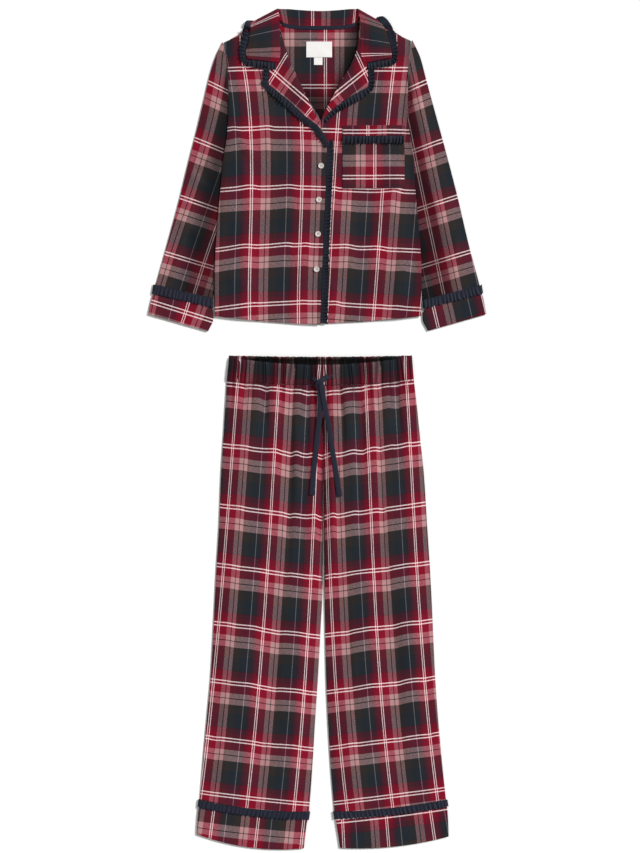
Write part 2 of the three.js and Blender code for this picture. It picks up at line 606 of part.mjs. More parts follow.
function ruffleRow(station, phase, heightAt) {
  const level = ([x, y]) => (station.height && station.on !== 'front' ? station.height : heightAt(x, y));
  const wave = RUFFLE_WAVE * Math.sin(2 * Math.PI * phase);
  const height = level(station.sewn);
  return [
    [...station.sewn, height],
    [...lerpPoint(station.sewn, station.free, 0.5), height + wave / 2],
    [...station.free, height + wave],
  ];
}

function addRuffle(name, table, heightAt) {
  addBentPanel(name, ruffleRows(table, heightAt), TRIM, navyCotton);
}

const RUFFLE_REST = LAID_GAP + TRIM / 2 + RUFFLE_WAVE; // middle of a ruffle over what it lies on

function addRuffles() {
  addRuffle('collar_ruffle', COLLAR_RUFFLE, fallOver);
  addRuffle('lapel_ruffle_right', RIGHT_LAPEL_RUFFLE, (x, y) => rightFrontTop(x, y) + RUFFLE_REST);
  addRuffle('lapel_ruffle_left', LEFT_LAPEL_RUFFLE, (x, y) => leftFrontTop(x, y) + RUFFLE_REST);
  addRuffle('front_ruffle', FRONT_RUFFLE, (x, y) => leftFrontTop(x, y) + RUFFLE_REST);
}

// Pocket on the left front: the bag, a band above it and a ruffle hanging from the band
const POCKET_LEFT = 53;
const POCKET_RIGHT = 183;
const POCKET_BOTTOM = 505;
const BAND_BOTTOM = 615;
const BAND_TOP = 637;
const POCKET_COLUMNS = 10;

function rectanglePlan(left, right, bottom, top, columns, rows) {
  return steps(rows).map((v) => steps(columns).map((u) => [lerp(left, right, u), lerp(bottom, top, v)]));
}

function addPocket() {
  const bag = rectanglePlan(POCKET_LEFT, POCKET_RIGHT, POCKET_BOTTOM, BAND_BOTTOM - SEAM, POCKET_COLUMNS, 4);
  const band = rectanglePlan(POCKET_LEFT, POCKET_RIGHT, BAND_BOTTOM, BAND_TOP, POCKET_COLUMNS, 1);
  addSheet('pocket', bag, CLOTH, onLeft, flannel);
  addSheet('pocket_band', band, CLOTH, onLeft, flannel);
  addRuffle('pocket_ruffle', POCKET_RUFFLE, (x, y) => onLeft(x, y) + RUFFLE_REST);
}

// Buttons down the centre, sewn through the right front
const BUTTON_RADIUS = 6;
const BUTTON_HEIGHT = 2.6;
const BUTTON_PLACES = [[8, 552], [3.5, 481], [1.5, 409], [-1.5, 335]];

const BUTTON_DISH = 1.7; // height of the dished middle
const BUTTON_RIM = 1.4; // width of the raised rim
const BUTTON_BEVEL = 0.8;

function buttonProfile() {
  const rim = BUTTON_RADIUS - BUTTON_RIM;
  return [
    [0, 0],
    [BUTTON_RADIUS - BUTTON_BEVEL, 0],
    [BUTTON_RADIUS, BUTTON_BEVEL],
    [BUTTON_RADIUS, BUTTON_HEIGHT - BUTTON_BEVEL],
    [BUTTON_RADIUS - BUTTON_BEVEL, BUTTON_HEIGHT],
    [rim, BUTTON_HEIGHT],
    [rim - BUTTON_BEVEL, BUTTON_DISH],
    [0, BUTTON_DISH],
  ].map(([radius, height]) => new THREE.Vector2(radius, height));
}

function addButtons() {
  const geometry = new THREE.LatheGeometry(buttonProfile(), 16).rotateX(Math.PI / 2);
  BUTTON_PLACES.forEach(([x, y], index) => {
    const button = new THREE.Mesh(geometry, buttonResin);
    button.name = `button_${index + 1}`;
    button.position.set(x, y, rightFrontTop(x, y) + SEAM);
    set.add(button);
  });
}

// Bare labels inside the back neck
function addLabels() {
  const label = rectanglePlan(-23, 31, 780, 813, 2, 1);
  const tab = rectanglePlan(-7, 11, 764, 780 - SEAM, 1, 1);
  const top = (x, y) => backTop(x, y) + LAID_GAP + TRIM;
  addSheet('neck_label', label, TRIM, top, labelSatin);
  addSheet('size_tab', tab, TRIM, top, labelSatin);
}

// Trousers: sections of each leg from the casing seam to the cuff seam
const RIGHT_LEG = [
  { outer: [-190, 100], inner: [12.8, 91.8], bow: -2.4 },
  { outer: [-193, 50], inner: [12.8, 37] },
  { outer: [-196, 0], inner: [12.8, -18] },
  { outer: [-202, -97], inner: [12.6, -122], bow: -3 },
  { outer: [-206, -200], inner: [12, -225], bow: -3 },
  { outer: [-212, -300], inner: [11.5, -322], bow: -3 },
  { outer: [-217, -400], inner: [7, -420], bow: -2 },
  { outer: [-223, -510], inner: [1, -528], bow: -2 },
  { outer: [-231, -600], inner: [-5, -620], bow: -3 },
  { outer: [-240, -700], inner: [-11, -720], bow: -5 },
  { outer: [-246, -777], inner: [-17, -803], bow: -7 },
];
const LEFT_LEG = [
  { outer: [203, 101], inner: [13.2, 91.8], bow: 2.4 },
  { outer: [209, 50], inner: [13.2, 37] },
  { outer: [214, 0], inner: [13.2, -18] },
  { outer: [224, -97], inner: [13.6, -122], bow: 3 },
  { outer: [230.5, -200], inner: [14, -225], bow: 3 },
  { outer: [237, -300], inner: [15, -322], bow: 3 },
  { outer: [242, -400], inner: [16.5, -420], bow: 2 },
  { outer: [247, -510], inner: [19, -528], bow: 2 },
  { outer: [253, -600], inner: [23, -620], bow: 3 },
  { outer: [262, -700], inner: [29, -720], bow: 4 },
  { outer: [270, -777], inner: [36, -803], bow: 5 },
];
// Soft folds that run down from the waist: across, how wide and how high each is at its top
const LEG_FOLDS = [
  { x: -150, width: 34, height: 0.8, bottom: -60 },
  { x: -92, width: 36, height: 1.3, bottom: -260 },
  { x: -32, width: 34, height: 1.1, bottom: -330 },
  { x: 50, width: 34, height: 1.2, bottom: -330 },
  { x: 108, width: 36, height: 1.4, bottom: -240 },
  { x: 166, width: 34, height: 0.9, bottom: -80 },
];
const LEG_BACK_TOP = CLOTH;
const LEG_LOFT_SHARE = 0.2; // part of a leg's width over which its front rises from the seam

function legFold(x, y) {
  let height = 0;
  for (const fold of LEG_FOLDS) {
    const across = clamp01(1 - Math.abs(x - fold.x) / (fold.width / 2));
    height += fold.height * across * ramp(y, fold.bottom, 100);
  }
  return height;
}

function legFrontGrids(sections, columns) {
  const upper = sections.map((section) => steps(columns).map((share) => {
    const [x, y] = sectionPoint(section, share);
    const loft = LEG_LOFT * Math.min(1, share / LEG_LOFT_SHARE, (1 - share) / LEG_LOFT_SHARE);
    const middle = share > 0 && share < 1;
    return [x, y, LEG_BACK_TOP + LAYER + loft + (middle ? legFold(x, y) : 0)];
  }));
  const lower = upper.map((row) => row.map(([x, y, z]) => [x, y, z - CLOTH]));
  return { upper, lower };
}

const LEG_FRONT_COLUMNS = 12;
const LEG_BACK_COLUMNS = 4;

function addLegs() {
  for (const [side, sections] of [['right', RIGHT_LEG], ['left', LEFT_LEG]]) {
    const front = legFrontGrids(sections, LEG_FRONT_COLUMNS);
    addPanel(`leg_front_${side}`, front.upper, front.lower, flannel);
    const plan = sectionPlan(sections, LEG_BACK_COLUMNS);
    addSheet(`leg_back_${side}`, plan, CLOTH, () => LEG_BACK_TOP, flannelBack);
  }
}

// Leg cuffs and their ruffles, made like those of the sleeves
const LEG_CUFF_START_TOP = 5.0;
const LEG_CUFF_TOP = 5.4;
const RIGHT_LEG_CUFF = [
  { outer: [-246.5, -778.5], inner: [-18, -804], bow: -7, floor: CUFF_FLOOR, top: LEG_CUFF_START_TOP },
  { outer: [-248.5, -793], inner: [-20, -819], bow: -7, floor: CUFF_FLOOR, top: LEG_CUFF_START_TOP },
  { outer: [-250, -803], inner: [-22, -828], bow: -7, floor: 0, top: LEG_CUFF_TOP },
  { outer: [-252, -828], inner: [-25, -852], bow: -7, floor: 0, top: LEG_CUFF_TOP },
  { outer: [-253, -850], inner: [-28, -880], bow: -13, floor: 0, top: LEG_CUFF_TOP },
];
const LEFT_LEG_CUFF = [
  { outer: [270.5, -778.5], inner: [36.5, -804], bow: 5, floor: CUFF_FLOOR, top: LEG_CUFF_START_TOP },
  { outer: [272.5, -792], inner: [38.5, -818], bow: 5, floor: CUFF_FLOOR, top: LEG_CUFF_START_TOP },
  { outer: [273.5, -803], inner: [40, -828], bow: 5, floor: 0, top: LEG_CUFF_TOP },
  { outer: [275, -828], inner: [44, -852], bow: 6, floor: 0, top: LEG_CUFF_TOP },
  { outer: [276, -855], inner: [48, -879], bow: 9, floor: 0, top: LEG_CUFF_TOP },
];
const RIGHT_LEG_RUFFLE = [
  { outer: [-249.5, -778.5], inner: [-15, -804.5], bow: -7, floor: 0, wave: 0.2 },
  { outer: [-251.5, -793], inner: [-17, -819], bow: -7, floor: 0, wave: 1 },
];
const LEFT_LEG_RUFFLE = [
  { outer: [273.5, -778.5], inner: [33.5, -804.5], bow: 5, floor: 0, wave: 0.2 },
  { outer: [275.5, -792], inner: [35.5, -818], bow: 5, floor: 0, wave: 1 },
];

function addLegCuffs() {
  addFlatTube('leg_cuff_right', RIGHT_LEG_CUFF, CUFF_COLUMNS, TRIM, cuffTop, flannel);
  addFlatTube('leg_cuff_left', LEFT_LEG_CUFF, CUFF_COLUMNS, TRIM, cuffTop, flannel);
  const top = ringTop(LEG_RUFFLE_WAVES, LEG_CUFF_START_TOP + SEAM + TRIM);
  const columns = LEG_RUFFLE_WAVES * WAVE_STEPS;
  addFlatTube('leg_ruffle_right', RIGHT_LEG_RUFFLE, columns, TRIM, top, navyCotton);
  addFlatTube('leg_ruffle_left', LEFT_LEG_RUFFLE, columns, TRIM, top, navyCotton);
}

// Gathered waist casing: two layers of cloth round the elastic
const WAIST_FRONT_WAVES = 36;
const WAIST_BACK_WAVES = 20;
const WAIST_WALL = 1.7;
const WAIST_BACK_WAVE = 0.7;
const WAIST_FRONT_WAVE = 1.2;
const WAIST_LOFT = 1.6;
const WAIST_LOFT_SHARE = 0.125;
const WAIST_FRONT_FLOOR = CLOTH + WAIST_BACK_WAVE + SEAM;
const WAIST_FRONT = [
  { outer: [-185, 151], inner: [198, 152], bow: -17 },
  { outer: [-187.5, 126], inner: [200.5, 126], bow: -12 },
  { outer: [-190, 100.5], inner: [203, 101.5], bow: -8.5 },
];
const WAIST_BACK = [
  { outer: [-185, 154.5], inner: [199, 154.5], bow: -3 },
  { outer: [-190, 100.5], inner: [203, 101.5], bow: -8.5 },
];

const gatherAt = (waves, share) => (1 - Math.cos(2 * Math.PI * waves * share)) / 2;

function addWaist() {
  const planOf = (sections, waves) => sections.map(
    (section) => steps(waves * WAVE_STEPS / 2).map((share) => ({ share, point: sectionPoint(section, share) })),
  );
  const back = planOf(WAIST_BACK, WAIST_BACK_WAVES);
  addPanel(
    'waistband_back',
    back.map((row) => row.map(({ share, point }) => (
      [...point, CLOTH + WAIST_BACK_WAVE * gatherAt(WAIST_BACK_WAVES, share)]))),
    back.map((row) => row.map(({ point }) => [...point, 0])),
    flannelBack,
  );
  const front = planOf(WAIST_FRONT, WAIST_FRONT_WAVES);
  const frontFloor = (share) => WAIST_FRONT_FLOOR
    + WAIST_LOFT * Math.min(1, share / WAIST_LOFT_SHARE, (1 - share) / WAIST_LOFT_SHARE)
    + WAIST_FRONT_WAVE * gatherAt(WAIST_FRONT_WAVES, share);
  addPanel(
    'waistband_front',
    front.map((row) => row.map(({ share, point }) => [...point, frontFloor(share) + WAIST_WALL])),
    front.map((row) => row.map(({ share, point }) => [...point, frontFloor(share)])),
    flannel,
  );
}

// Flat tie: two ends come out of the casing, cross in a half knot and hang down the front
const TIE_WIDTH = 11;
const TIE_THICKNESS = 1.8;
const TIE_REST = 8.3; // middle height of a tail on the legs
const TIE_ROUTES = [
  { name: 'drawstring_end_right', route: [[-7, 109, 8.3], [-3, 106, 8.9], [1, 104, 9.5]] },
  { name: 'drawstring_end_left', route: [[32, 116, 8.3], [25, 112, 9], [18, 107, 9.8]] },
  {
    name: 'drawstring_tail_right',
    route: [[5, 91, 9.0], [7, 60, 8.4], [2, 0, TIE_REST], [-5, -70, TIE_REST], [-11, -139, TIE_REST]],
  },
  {
    name: 'drawstring_tail_left',
    route: [[11, 91, 11.4], [14, 62, 10.9], [24, 10, 9.0], [36, -70, TIE_REST], [47, -141, TIE_REST]],
  },
];
const TIE_STEPS = 12;
const SHORT_ROUTE = 3; // points of a short end between its eyelet and the knot
const TIE_CHAMFER = 0.6;
const KNOT_CENTRE = [9, 100.4, 10.2];
const KNOT_SIZE = [17, 17, 5.6];

function tieSection() {
  const half = TIE_WIDTH / 2;
  const rise = TIE_THICKNESS / 2;
  const flat = half - TIE_CHAMFER;
  const side = rise - TIE_CHAMFER;
  return [
    [flat, -rise], [half, -side], [half, side], [flat, rise],
    [-flat, rise], [-half, side], [-half, -side], [-flat, -rise],
  ];
}

// Sweep that keeps the tie's width level
function addTie(name, route) {
  const curve = new THREE.CatmullRomCurve3(route.map((point) => new THREE.Vector3(...point)));
  const section = tieSection();
  const count = route.length > SHORT_ROUTE ? TIE_STEPS : SHORT_ROUTE - 1;
  const points = [];
  for (const share of steps(count)) {
    const centre = curve.getPoint(share);
    const tangent = curve.getTangent(share);
    const sideways = new THREE.Vector3(tangent.y, -tangent.x, 0).normalize();
    const upward = sideways.clone().cross(tangent).normalize();
    for (const [across, up] of section) {
      const place = centre.clone().addScaledVector(sideways, across).addScaledVector(upward, up);
      points.push(place.toArray());
    }
  }
  const sides = section.length;
  const triangles = [];
  for (let step = 0; step < count; step += 1) {
    for (let side = 0; side < sides; side += 1) {
      const next = (side + 1) % sides;
      const a = step * sides + side;
      const b = step * sides + next;
      triangles.push([a, b, b + sides], [a, b + sides, a + sides]);
    }
  }
  const last = count * sides;
  for (let side = 1; side + 1 < sides; side += 1) {
    triangles.push([0, side + 1, side], [last, last + side, last + side + 1]);
  }
  addSolid(name, points, triangles, navyCotton);
}

function addDrawstring() {
  for (const { name, route } of TIE_ROUTES) addTie(name, route);
  const geometry = new THREE.SphereGeometry(0.5, 14, 8);
  geometry.scale(...KNOT_SIZE);
  const knot = new THREE.Mesh(geometry, navyCotton);
  knot.name = 'drawstring_knot';
  knot.position.set(...KNOT_CENTRE);
  set.add(knot);
}

addShirtBody();
addSleeves();
addCollar();
addLapels();
addRuffles();
addPocket();
addButtons();
addLabels();
addLegs();
addLegCuffs();
addWaist();
addDrawstring();

export default set;
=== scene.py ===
"""Flannel pyjama set laid flat: cloth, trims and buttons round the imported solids.

Sizes are in millimetres and become metres when a mesh is made. The floor is at z = 0, +Y runs from
the leg hems to the collar, and the wearer's right is at -X.
"""

import logging
import math
from collections.abc import Callable, Sequence
from dataclasses import dataclass, field
from enum import Enum

import bpy
import numpy as np
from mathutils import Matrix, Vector


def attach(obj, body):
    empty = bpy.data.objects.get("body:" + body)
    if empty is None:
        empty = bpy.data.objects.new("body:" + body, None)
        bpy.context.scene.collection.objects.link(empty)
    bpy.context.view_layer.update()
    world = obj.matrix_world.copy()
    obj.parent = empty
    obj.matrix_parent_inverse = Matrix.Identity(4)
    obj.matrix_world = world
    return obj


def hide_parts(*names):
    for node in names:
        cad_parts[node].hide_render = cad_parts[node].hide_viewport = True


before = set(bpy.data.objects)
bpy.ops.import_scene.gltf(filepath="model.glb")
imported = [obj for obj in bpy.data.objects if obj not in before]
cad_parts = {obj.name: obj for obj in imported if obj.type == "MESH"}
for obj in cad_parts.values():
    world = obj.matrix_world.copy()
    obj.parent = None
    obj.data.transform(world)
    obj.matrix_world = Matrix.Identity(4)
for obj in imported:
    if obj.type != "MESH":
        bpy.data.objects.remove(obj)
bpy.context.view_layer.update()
LOG = logging.getLogger("pyjama_set")

Point = tuple[float, float]
Table = Sequence[tuple[float, float, float]]
Height = Callable[[np.ndarray, np.ndarray], np.ndarray]

MM = 0.001
ROOT = "root"

# Walls and clearances of the solids, which the cloth keeps to
CLOTH = 1.3
TRIM = 1.0
SEAM = 0.3
LAYER = CLOTH + SEAM
LAID_GAP = 0.5
SLEEVE_EDGE = 3.6
SLEEVE_PUFF = 1.8
TUCK_LIFT = SLEEVE_EDGE + SEAM
FALL_LIFT = LAYER
SHIRT_LOFT = 1.3
LEG_LOFT = 3.8

# Spacing of the points of a piece
FINE = 3.0
MEDIUM = 5.0
COARSE = 9.0
RIM_PLACES = (0.0, 0.18, 0.55, 1.2)
RIM_SHARES = (0.3, 0.72, 0.93, 1.0)
FOLD_POINTS = 7


def ramp(value: np.ndarray, low: float, high: float) -> np.ndarray:
    """Straight rise from 0 at low to 1 at high."""
    return np.clip((np.asarray(value, float) - low) / (high - low), 0.0, 1.0)


def ease(value: np.ndarray, low: float, high: float) -> np.ndarray:
    """Soft rise from 0 at low to 1 at high."""
    share = ramp(value, low, high)
    return share * share * (3 - 2 * share)


def smooth_read(keys: Sequence[float], values: np.ndarray, at: np.ndarray) -> np.ndarray:
    """Reads a short table along a curve that never overshoots its rows.

    Args:
        keys: Rising place of each row.
        values: One number or one row of numbers for each key.
        at: Places to read.

    Returns:
        A number or row of numbers for each place.
    """
    keys = np.asarray(keys, float)
    values = np.asarray(values, float)
    at = np.clip(np.asarray(at, float), keys[0], keys[-1])
    wide = (slice(None),) + (None,) * (values.ndim - 1)
    gaps = np.diff(keys)
    rates = np.diff(values, axis=0) / gaps[wide]
    total = rates[:-1] + rates[1:]
    agree = rates[:-1] * rates[1:] > 0
    inner = np.where(agree, 2 * rates[:-1] * rates[1:] / np.where(agree, total, 1.0), 0.0)
    slopes = np.concatenate([rates[:1], inner, rates[-1:]])
    low = np.clip(np.searchsorted(keys, at, side="right") - 1, 0, len(keys) - 2)
    share = ((at - keys[low]) / gaps[low])[(...,) + (None,) * (values.ndim - 1)]
    gap = gaps[low][(...,) + (None,) * (values.ndim - 1)]
    back = 1 - share
    return (
        (1 + 2 * share) * back**2 * values[low]
        + share * back**2 * gap * slopes[low]
        + share**2 * (3 - 2 * share) * values[low + 1]
        - share**2 * back * gap * slopes[low + 1]
    )


def spread(length: float, pitch: float) -> np.ndarray:
    """Places from 0 to length at about the pitch, closer together at both rims."""
    start = np.array(RIM_PLACES)
    count = max(2, round((length - 2 * start[-1]) / pitch))
    middle = np.linspace(start[-1], length - start[-1], count + 1)
    return np.concatenate([start[:-1], middle, length - start[-2::-1]])


def rim_shares(count: int) -> np.ndarray:
    """Part of the wall that is left at each row or column, so that its rim is round."""
    shares = np.ones(count)
    for index, share in enumerate(RIM_SHARES):
        shares[index] = share
        shares[count - 1 - index] = share
    return shares


def rumple(x: np.ndarray, y: np.ndarray, size: float, seed: int) -> np.ndarray:
    """Gentle unevenness of laid cloth, between about -1 and 1, with hollows of about that size."""
    chance = np.random.default_rng(seed)
    total = np.zeros_like(np.asarray(x, float))
    waves = 7
    for _ in range(waves):
        angle = chance.uniform(0, math.pi)
        length = size * chance.uniform(0.8, 2.2)
        phase = chance.uniform(0, 2 * math.pi)
        across = x * math.cos(angle) + y * math.sin(angle)
        total = total + np.sin(2 * math.pi * across / length + phase)
    return total / math.sqrt(waves)


@dataclass(frozen=True)
class Crease:
    """Soft ridge, or a trough where its height is negative, along a line on laid cloth."""

    start: Point
    end: Point
    width: float
    height: float
    bend: float = 0.0

    def rise(self, x: np.ndarray, y: np.ndarray) -> np.ndarray:
        """Height that the crease adds at each point."""
        run = (self.end[0] - self.start[0], self.end[1] - self.start[1])
        length = math.hypot(*run)
        away = (x - self.start[0], y - self.start[1])
        share = (away[0] * run[0] + away[1] * run[1]) / length**2
        aside = (away[0] * run[1] - away[1] * run[0]) / length
        aside = aside - self.bend * 4 * share * (1 - share)
        fade = ease(share, -0.15, 0.35) * (1 - ease(share, 0.65, 1.15))
        steeper = self.width * (1 + 0.35 * np.tanh(aside / self.width))
        return self.height * fade * np.exp(-((aside / steeper) ** 2))


def creased(creases: Sequence[Crease], x: np.ndarray, y: np.ndarray) -> np.ndarray:
    """Sum of all the creases at each point."""
    return sum((crease.rise(x, y) for crease in creases), np.zeros_like(np.asarray(x, float)))


@dataclass(frozen=True)
class Section:
    """Line across a piece from its outer to its inner end, bowed in its middle."""

    outer: Point
    inner: Point
    bow: float = 0.0
    floor: float = 0.0
    top: float = 0.0


class Layout:
    """Plan of a piece between its sections."""

    def __init__(self, sections: Sequence[Section]) -> None:
        """Measures the piece along the middle of its sections."""
        self.rows = np.array([[*s.outer, *s.inner, s.bow, s.floor, s.top] for s in sections], float)
        middles = (self.rows[:, 0:2] + self.rows[:, 2:4]) / 2
        self.keys = np.concatenate([[0.0], np.cumsum(np.hypot(*np.diff(middles, axis=0).T))])
        self.length = float(self.keys[-1])
        self.width = float(np.hypot(*(self.rows[:, 2:4] - self.rows[:, 0:2]).T).mean())

    def read(self, along: np.ndarray) -> np.ndarray:
        """Section rows at distances along the piece."""
        return smooth_read(self.keys, self.rows, along)

    def plan(self, along: np.ndarray, across: np.ndarray) -> np.ndarray:
        """Points of the plan.

        Args:
            along: Distances along the piece, one for each row.
            across: Shares from the outer to the inner end, one for each column.

        Returns:
            Rows by columns by x and y.
        """
        rows = self.read(along)
        outer, inner = rows[:, None, 0:2], rows[:, None, 2:4]
        share = across[None, :, None]
        run = inner - outer
        length = np.linalg.norm(run, axis=2, keepdims=True)
        sideways = np.stack([-run[..., 1], run[..., 0]], axis=2) / length
        return outer + run * share + sideways * rows[:, None, 4:5] * 4 * share * (1 - share)


@dataclass
class Shape:
    """Closed wall of cloth: its points, its quads, and the cloth coordinates of their corners."""

    points: np.ndarray
    quads: np.ndarray
    chart: np.ndarray
    chart_quads: np.ndarray
    face_quads: int
    # Painted shade of each point, from 0 to 1, that darkens its colour
    painted_shade: np.ndarray


def shape_of(
    points: np.ndarray, quads: list, chart: np.ndarray, chart_quads: list, face: int, painted_shade: np.ndarray
) -> Shape:
    """Shape whose quads all look outwards, from quads that may all look inwards."""
    corner = points[np.array(quads)]
    normals = np.cross(corner[:, 2] - corner[:, 0], corner[:, 3] - corner[:, 1])
    inside_out = float((corner.mean(axis=1) * normals).sum()) < 0
    order = [3, 2, 1, 0] if inside_out else [0, 1, 2, 3]
    return Shape(points, np.array(quads)[:, order], chart, np.array(chart_quads)[:, order], face, painted_shade)


def joined(shapes: Sequence[Shape]) -> Shape:
    """One shape from several that stand side by side."""
    point_starts = np.cumsum([0] + [len(s.points) for s in shapes])
    chart_starts = np.cumsum([0] + [len(s.chart) for s in shapes])
    return Shape(
        np.concatenate([s.points for s in shapes]),
        np.concatenate([s.quads + start for s, start in zip(shapes, point_starts)]),
        np.concatenate([s.chart for s in shapes]),
        np.concatenate([s.chart_quads + start for s, start in zip(shapes, chart_starts)]),
        sum(s.face_quads for s in shapes),
        np.concatenate([s.painted_shade for s in shapes]),
    )


def unit(vectors: np.ndarray) -> np.ndarray:
    """Vectors of length one."""
    return vectors / np.maximum(np.linalg.norm(vectors, axis=-1, keepdims=True), 1e-9)


def grid_quads(rows: int, columns: int, start: int, stride: int) -> list[tuple[int, int, int, int]]:
    """Quads between neighbouring points of a grid."""
    quads = []
    for row in range(rows - 1):
        for column in range(columns - 1):
            a = start + row * stride + column
            quads.append((a, a + 1, a + stride + 1, a + stride))
    return quads


def closed_quads(rows: int, columns: int) -> tuple[list[tuple[int, int, int, int]], int]:
    """Quads of two grids that are joined round their border, and how many are on the first grid."""
    size = rows * columns
    quads = grid_quads(rows, columns, 0, columns)
    face = len(quads)
    quads += [quad[::-1] for quad in grid_quads(rows, columns, size, columns)]
    border = list(range(columns))
    border += [row * columns + columns - 1 for row in range(1, rows)]
    border += [(rows - 1) * columns + column for column in range(columns - 2, -1, -1)]
    border += [row * columns for row in range(rows - 2, 0, -1)]
    quads += [(b, a, a + size, b + size) for a, b in zip(border, border[1:] + border[:1])]
    return quads, face


def wall(
    middle: np.ndarray, chart: np.ndarray, thickness: float, painted_shade: np.ndarray | float = 0.0
) -> Shape:
    """Wall of cloth round a grid of middle points, with a round rim.

    Args:
        middle: Rows by columns of points.
        chart: Cloth coordinates of the same points.
        thickness: Wall of the cloth.
        painted_shade: Painted shade at each point, from 0 to 1, that darkens its colour.

    Returns:
        The closed shape, its upper face first.
    """
    rows, columns = middle.shape[:2]
    normal = unit(np.cross(np.gradient(middle, axis=1), np.gradient(middle, axis=0)))
    if normal[..., 2].sum() < 0:
        normal = -normal
    half = thickness / 2 * np.minimum(rim_shares(rows)[:, None], rim_shares(columns)[None, :])
    upper = middle + normal * half[..., None]
    lower = middle - normal * half[..., None]
    points = np.concatenate([upper.reshape(-1, 3), lower.reshape(-1, 3)])
    quads, face = closed_quads(rows, columns)
    charts = np.concatenate([chart.reshape(-1, 2)] * 2)
    # Painted shade, the same on both faces
    painted_shades = np.concatenate([(painted_shade + 0 * middle[..., 0]).ravel()] * 2)
    return shape_of(points, quads, charts, quads, face, painted_shades)


def tube(outer: np.ndarray, chart: np.ndarray, thickness: float, painted_shade: np.ndarray | float = 0.0) -> Shape:
    """Open tube of cloth within rings of outer points.

    Args:
        outer: Rings by points of the outer face, each ring closed but with no repeated point.
        chart: Cloth coordinates, with one more column than the rings for the seam.
        thickness: Wall of the cloth.
        painted_shade: Painted shade at each point, from 0 to 1, that darkens its colour.

    Returns:
        The closed shape, its outer face first.
    """
    rings, sides = outer.shape[:2]
    around = np.roll(outer, -1, axis=1) - np.roll(outer, 1, axis=1)
    normal = unit(np.cross(around, np.gradient(outer, axis=0)))
    level = outer[..., 2] - outer[..., 2].mean(axis=1, keepdims=True)
    if (level * normal[..., 2]).sum() < 0:
        normal = -normal
    rim = (1 - rim_shares(rings))[:, None, None] * thickness / 2
    within = outer - normal * (thickness - rim)
    points = np.concatenate([(outer - normal * rim).reshape(-1, 3), within.reshape(-1, 3)])
    size = rings * sides
    quads, corners = [], []
    for side in (0, 1):
        for ring in range(rings - 1):
            for index in range(sides):
                following = (index + 1) % sides
                a = side * size + ring * sides
                quad = (a + index, a + following, a + sides + following, a + sides + index)
                c = ring * (sides + 1) + index
                corner = (c, c + 1, c + sides + 2, c + sides + 1)
                quads.append(quad if side == 0 else quad[::-1])
                corners.append(corner if side == 0 else corner[::-1])
    for ring in (0, rings - 1):
        for index in range(sides):
            following = (index + 1) % sides
            a, b = ring * sides + index, ring * sides + following
            c = ring * (sides + 1) + index
            quad, corner = (b, a, a + size, b + size), (c + 1, c, c, c + 1)
            quads.append(quad if ring == 0 else quad[::-1])
            corners.append(corner if ring == 0 else corner[::-1])
    # Painted shade, the same on both faces
    painted_shades = np.concatenate([(painted_shade + 0 * outer[..., 0]).ravel()] * 2)
    return shape_of(points, quads, chart.reshape(-1, 2), corners, size - sides, painted_shades)


# Repeat of the check: between the double lines of the warp, and between those of the weft
WARP_REPEAT = 105.0
WEFT_REPEAT = 124.7


class CheckChart:
    """Where the check's numbered lines run on a piece, smooth between the places that are given.

    The number of a warp line grows towards the wearer's left, and that of a weft line downwards.
    """

    # Powers of x and y in the correction, and how stiff each power is
    POWERS = ((0, 0), (1, 0), (0, 1), (1, 1), (2, 0), (0, 2), (2, 1), (1, 2), (0, 3), (3, 0))
    STIFFNESS = (0.0, 1e-4, 3e-3, 1e-2)

    def __init__(self, warp: Table, weft: Table, turn: float = 0.0) -> None:
        """Fits the lines.

        Args:
            warp: Places and numbers of warp lines.
            weft: Places and numbers of weft lines.
            turn: Degrees that the cloth's grain is turned anticlockwise.
        """
        angle = math.radians(turn)
        self.warp_axis = (math.cos(angle) / WARP_REPEAT, math.sin(angle) / WARP_REPEAT)
        self.weft_axis = (math.sin(angle) / WEFT_REPEAT, -math.cos(angle) / WEFT_REPEAT)
        self.warp_fit = self.fit(warp, self.warp_axis)
        self.weft_fit = self.fit(weft, self.weft_axis)

    def fit(self, table: Table, axis: Point) -> tuple[np.ndarray, np.ndarray, float]:
        """Correction to evenly spaced lines, as its centre, weights and span."""
        places = np.array(table, float)
        centre = places[:, :2].mean(axis=0)
        span = max(60.0, float(np.abs(places[:, :2] - centre).max()))
        basis = self.basis(places[:, 0], places[:, 1], centre, span)
        want = places[:, 2] - places[:, 0] * axis[0] - places[:, 1] * axis[1]
        stiff = np.diag([self.STIFFNESS[a + b] * len(places) + 1e-9 for a, b in self.POWERS])
        weights = np.linalg.solve(basis.T @ basis + stiff, basis.T @ want)
        return centre, weights, span

    def basis(self, x: np.ndarray, y: np.ndarray, centre: np.ndarray, span: float) -> np.ndarray:
        """Powers of the places round the centre, held still beyond the given places."""
        a = np.clip((x - centre[0]) / span, -1.1, 1.1)
        b = np.clip((y - centre[1]) / span, -1.1, 1.1)
        return np.stack([a**i * b**j for i, j in self.POWERS], axis=-1)

    def read(self, x: np.ndarray, y: np.ndarray) -> np.ndarray:
        """Warp and weft number at each point."""
        numbers = []
        for axis, fitted in ((self.warp_axis, self.warp_fit), (self.weft_axis, self.weft_fit)):
            centre, weights, span = fitted
            numbers.append(x * axis[0] + y * axis[1] + self.basis(x, y, centre, span) @ weights)
        return np.stack(numbers, axis=-1)


def linear(colour: str) -> tuple[float, float, float, float]:
    """Linear colour from an sRGB hex value."""
    parts = [int(colour[i : i + 2], 16) / 255 for i in (1, 3, 5)]
    return (*[p / 12.92 if p <= 0.04045 else ((p + 0.055) / 1.055) ** 2.4 for p in parts], 1.0)


